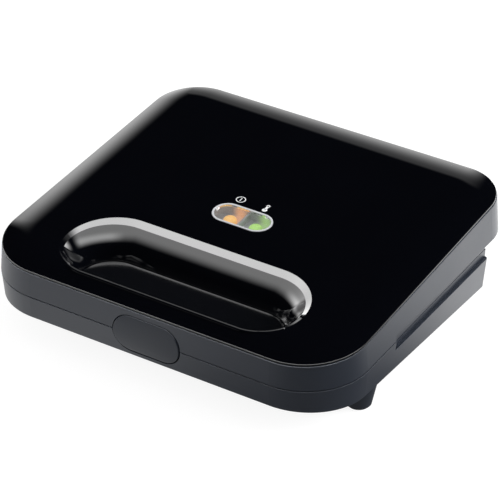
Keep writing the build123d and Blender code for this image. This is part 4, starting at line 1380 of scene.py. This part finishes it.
@dataclass(frozen=True)
class Room:
    """Soft boxes that the gloss reflects, each given by the surface direction that mirrors it to the camera.

    That direction has an east and a north part, and a tilt from the upright.
    """

    dark: float = 0.004
    right_end: Fade = Fade(-0.44, -0.38)  # what faces farther west gets neither left nor rear light
    left_east: Fade = Fade(-0.13, -0.36)
    left_north: Fade = Fade(-0.16, -0.06)
    left_level: float = 2.6
    rear_east: Fade = Fade(0.24, 0.08)
    rear_north: tuple[Fade, Fade] = (Fade(0.06, 0.10), Fade(0.10, 0.34))
    rear_levels: Pair = (0.35, 1.35)
    gentle: Fade = Fade(0.62, 0.55)
    lip_tilt: Fade = Fade(0.40, 0.46)
    lip_level: float = 0.7
    mouth_north: Fade = Fade(0.32, 0.38)
    mouth_level: float = 12.0
    notch_east: Fade = Fade(0.22, 0.42)
    notch_north: Fade = Fade(0.20, 0.03)  # what faces nearly due east gets neither chamfer nor wall light
    chamfer_tilt: Fade = Fade(0.43, 0.46)
    chamfer_level: float = 13.0
    chamfer_east: Fade = Fade(-0.15, -0.45)
    chamfer_loss: float = 7.0  # what the chamfer loses towards the west
    chamfer_north: Fade = Fade(0.0, 0.3)
    chamfer_share: float = 0.5  # share it loses towards the north
    wall_tilt: tuple[Fade, Fade] = (Fade(0.795, 0.738), Fade(0.62, 0.66))
    wall_east: Fade = Fade(-0.59, -0.50)
    wall_level: float = 3.8
    ends_east: Fade = Fade(0.15, 0.45)
    ends_tilt: Fade = Fade(0.72, 0.765)
    ends_level: float = 6.0  # what the wall gains where it faces east or west

    def level(self, shade: Shade, look: Value, ahead: Vector) -> Value:
        """Brightness of the room.

        Args:
            shade: Tree of the world.
            look: Direction in which the room is seen.
            ahead: Direction in which the main camera looks.

        Returns:
            The brightness in that direction.
        """
        half = shade.unit(shade.node("ShaderNodeVectorMath", {"operation": "SUBTRACT"},
                                     {0: look, 1: tuple(ahead)}, "Vector"))
        east, north, up = (shade.along(half, axis) for axis in ((1, 0, 0), (0, 1, 0), (0, 0, 1)))
        tilt = (1 - up * up).most(0.0) ** 0.5
        ease = shade.ease
        side = ease(east, self.right_end)
        left = ease(east, self.left_east) * ease(north, self.left_north) * side * self.left_level
        foot, rise = (ease(north, fade) * level for fade, level in zip(self.rear_north, self.rear_levels))
        rear = (foot + rise) * ease(east, self.rear_east) * side
        gentle = ease(tilt, self.gentle)
        lip = ease(tilt, self.lip_tilt) * gentle * self.lip_level
        mouth = ease(north, self.mouth_north) * gentle * self.mouth_level
        notch = 1 - ease(east, self.notch_east) * ease(abs(north), self.notch_north)
        chamfer = (ease(tilt, self.chamfer_tilt) * gentle
                   * (self.chamfer_level - ease(east, self.chamfer_east) * self.chamfer_loss)
                   * (1 - ease(north, self.chamfer_north) * self.chamfer_share))
        ends = ease(abs(east), self.ends_east) * ease(tilt, self.ends_tilt) * self.ends_level
        top, foot = (ease(tilt, fade) for fade in self.wall_tilt)
        wall = top * foot * ease(east, self.wall_east) * (self.wall_level + ends)
        return self.dark + left.most(rear) + lip + mouth + (chamfer + wall) * notch


@dataclass
class Studio:
    """Pale floor, soft light and the camera."""

    azimuth: float = 31.684
    elevation: float = 33.776
    distance: float = 1428.03 * MM
    aim: Pair = (0.887 * MM, -1.232 * MM)  # shift of the view to the right and up
    centre: Point = (0.0, -1.3 * MM, 34.0 * MM)
    lens: float = 177.1
    floor_size: float = 6.0
    floor_white: Pair = (0.72, 1.22)  # its share of the floor, and its strength
    floor_gloss: float = 2.4  # strength of the floor's bright sides in the gloss
    room: Room = Room()
    lamps: tuple[tuple[str, Point, float], ...] = (("key_right", (1.9, 1.0, 1.1), 48.0),
                                                   ("fill_left", (-1.9, -1.5, 1.2), 12.0))
    lamp_size: float = 1.2
    lamp_target: Point = (0.0, 0.0, 0.03)

    def build(self) -> None:
        """Makes the camera, the floor, the lamps and the world."""
        self._camera()
        self._floor()
        self._world()
        for lamp in self.lamps:
            self._lamp(*lamp)
        scene = bpy.context.scene
        scene.view_settings.view_transform = "Standard"

    def axes(self) -> tuple[Vector, Vector, Vector]:
        """How the camera is turned.

        Returns:
            The directions of its right, its up and its view.
        """
        a, e = math.radians(self.azimuth), math.radians(self.elevation)
        right = Vector((math.cos(a), math.sin(a), 0))
        ahead = Vector((-math.sin(a) * math.cos(e), math.cos(a) * math.cos(e), -math.sin(e)))
        return right, right.cross(ahead), ahead

    def _camera(self) -> None:
        """Camera at the angle the press is seen from."""
        right, up, ahead = self.axes()
        data = bpy.data.cameras.new("camera")
        data.lens, data.sensor_width = self.lens, 36.0
        data.clip_start, data.clip_end = 0.05, 50.0
        camera = placed("camera", data)
        spot = Vector(self.centre) + right * self.aim[0] + up * self.aim[1] - ahead * self.distance
        turn = Matrix((right, up, -ahead)).transposed()
        camera.matrix_world = Matrix.Translation(spot) @ turn.to_4x4()
        bpy.context.scene.camera = camera

    def _floor(self) -> None:
        """Pale floor with a soft shadow, clear from below; in the gloss it is lit from two sides."""
        material, shade = fresh_material("studio_floor")
        camera, through, gloss = shade.rays("Camera", "Transmission", "Glossy")
        look = shade.unit(shade.place())
        left = shade.ease(shade.along(look, (-0.84, 0.54, 0)), Fade(-1.0, -0.2))
        rear = shade.ease(shade.along(look, (0.6, 0.8, 0)), Fade(0.3, 1.0))
        pale = shade.node("ShaderNodeBsdfDiffuse", None, {"Color": (0.8, 0.8, 0.8, 1.0)})
        share, strength = self.floor_white
        under = shade.shaders(camera.most(through) * share, pale, shade.glow(1.0, strength))
        glossy = shade.shaders((0.08 + left * 0.42 + rear * 0.5).least(1.0), shade.glow(0.02, 1.0),
                               shade.glow(1.0, self.floor_gloss))
        below = Value(shade, shade.node("ShaderNodeNewGeometry").socket.node.outputs["Backfacing"])
        clear = shade.node("ShaderNodeBsdfTransparent")
        shade.surface(shade.shaders(below, shade.shaders(gloss, under, glossy), clear))
        mesh = bmesh.new()
        bmesh.ops.create_grid(mesh, x_segments=1, y_segments=1, size=self.floor_size / 2)
        data = stored("studio_floor", mesh)
        data.materials.append(material)
        placed("studio_floor", data)

    def _world(self) -> None:
        """White behind the press, soft light on matt parts, and a dark room with soft boxes in the gloss."""
        world = bpy.data.worlds.new("studio")
        bpy.context.scene.world = world
        world.use_nodes = True
        shade = Shade(world.node_tree)
        camera, through, gloss = shade.rays("Camera", "Transmission", "Glossy")
        seen = camera.most(through)
        look = shade.node("ShaderNodeTexCoord", output="Generated")
        room = self.room.level(shade, look, self.axes()[2])
        strength = seen + (1 - seen) * (gloss * room + (1 - gloss) * self._ambient(shade, look))
        glow = shade.node("ShaderNodeBackground", None, {"Color": (1.0, 1.0, 1.0, 1.0), "Strength": strength})
        out = shade.tree.nodes.new("ShaderNodeOutputWorld")
        shade.tree.links.new(glow.socket, out.inputs["Surface"])

    @staticmethod
    def _ambient(shade: Shade, look: Value) -> Value:
        """What lights the matt surfaces: brighter from the right behind, darker from the right in front.

        Args:
            shade: Tree of the world.
            look: Direction in which the room is seen.

        Returns:
            The brightness in that direction.
        """
        rear = shade.ease(shade.along(look, (0.75, 0.65, 0.2)), Fade(0.2, 1.0))
        left = shade.ease(shade.along(look, (-0.85, -0.5, 0.2)), Fade(-0.2, 1.0))
        return 0.35 + rear * 1.4 + left * 0.5

    def _lamp(self, name: str, spot: Point, power: float) -> None:
        """One soft square lamp that points at the press; the room stands for it in the gloss.

        Args:
            name: Name of the lamp.
            spot: Where it stands, in metres.
            power: Watts.
        """
        data = bpy.data.lights.new(name, "AREA")
        data.shape, data.size, data.energy = "SQUARE", self.lamp_size, power
        lamp = placed(name, data)
        lamp.location = spot
        lamp.visible_glossy = False
        lamp.rotation_euler = (Vector(self.lamp_target) - Vector(spot)).to_track_quat("-Z", "Y").to_euler()


def main() -> None:
    """Builds every part of the press in order, then the studio."""
    logging.basicConfig(level=logging.INFO, format="%(message)s")
    wardrobe = Wardrobe()
    rim = RimPlane()
    for group in (Casing(), Heating(), TopPanel(rim), Signs(rim), IndicatorWindow(), Latch(), LatchSpring(),
                  *SCREWS):
        group.build(wardrobe)
    Studio().build()


if __name__ == "__main__":
    main()
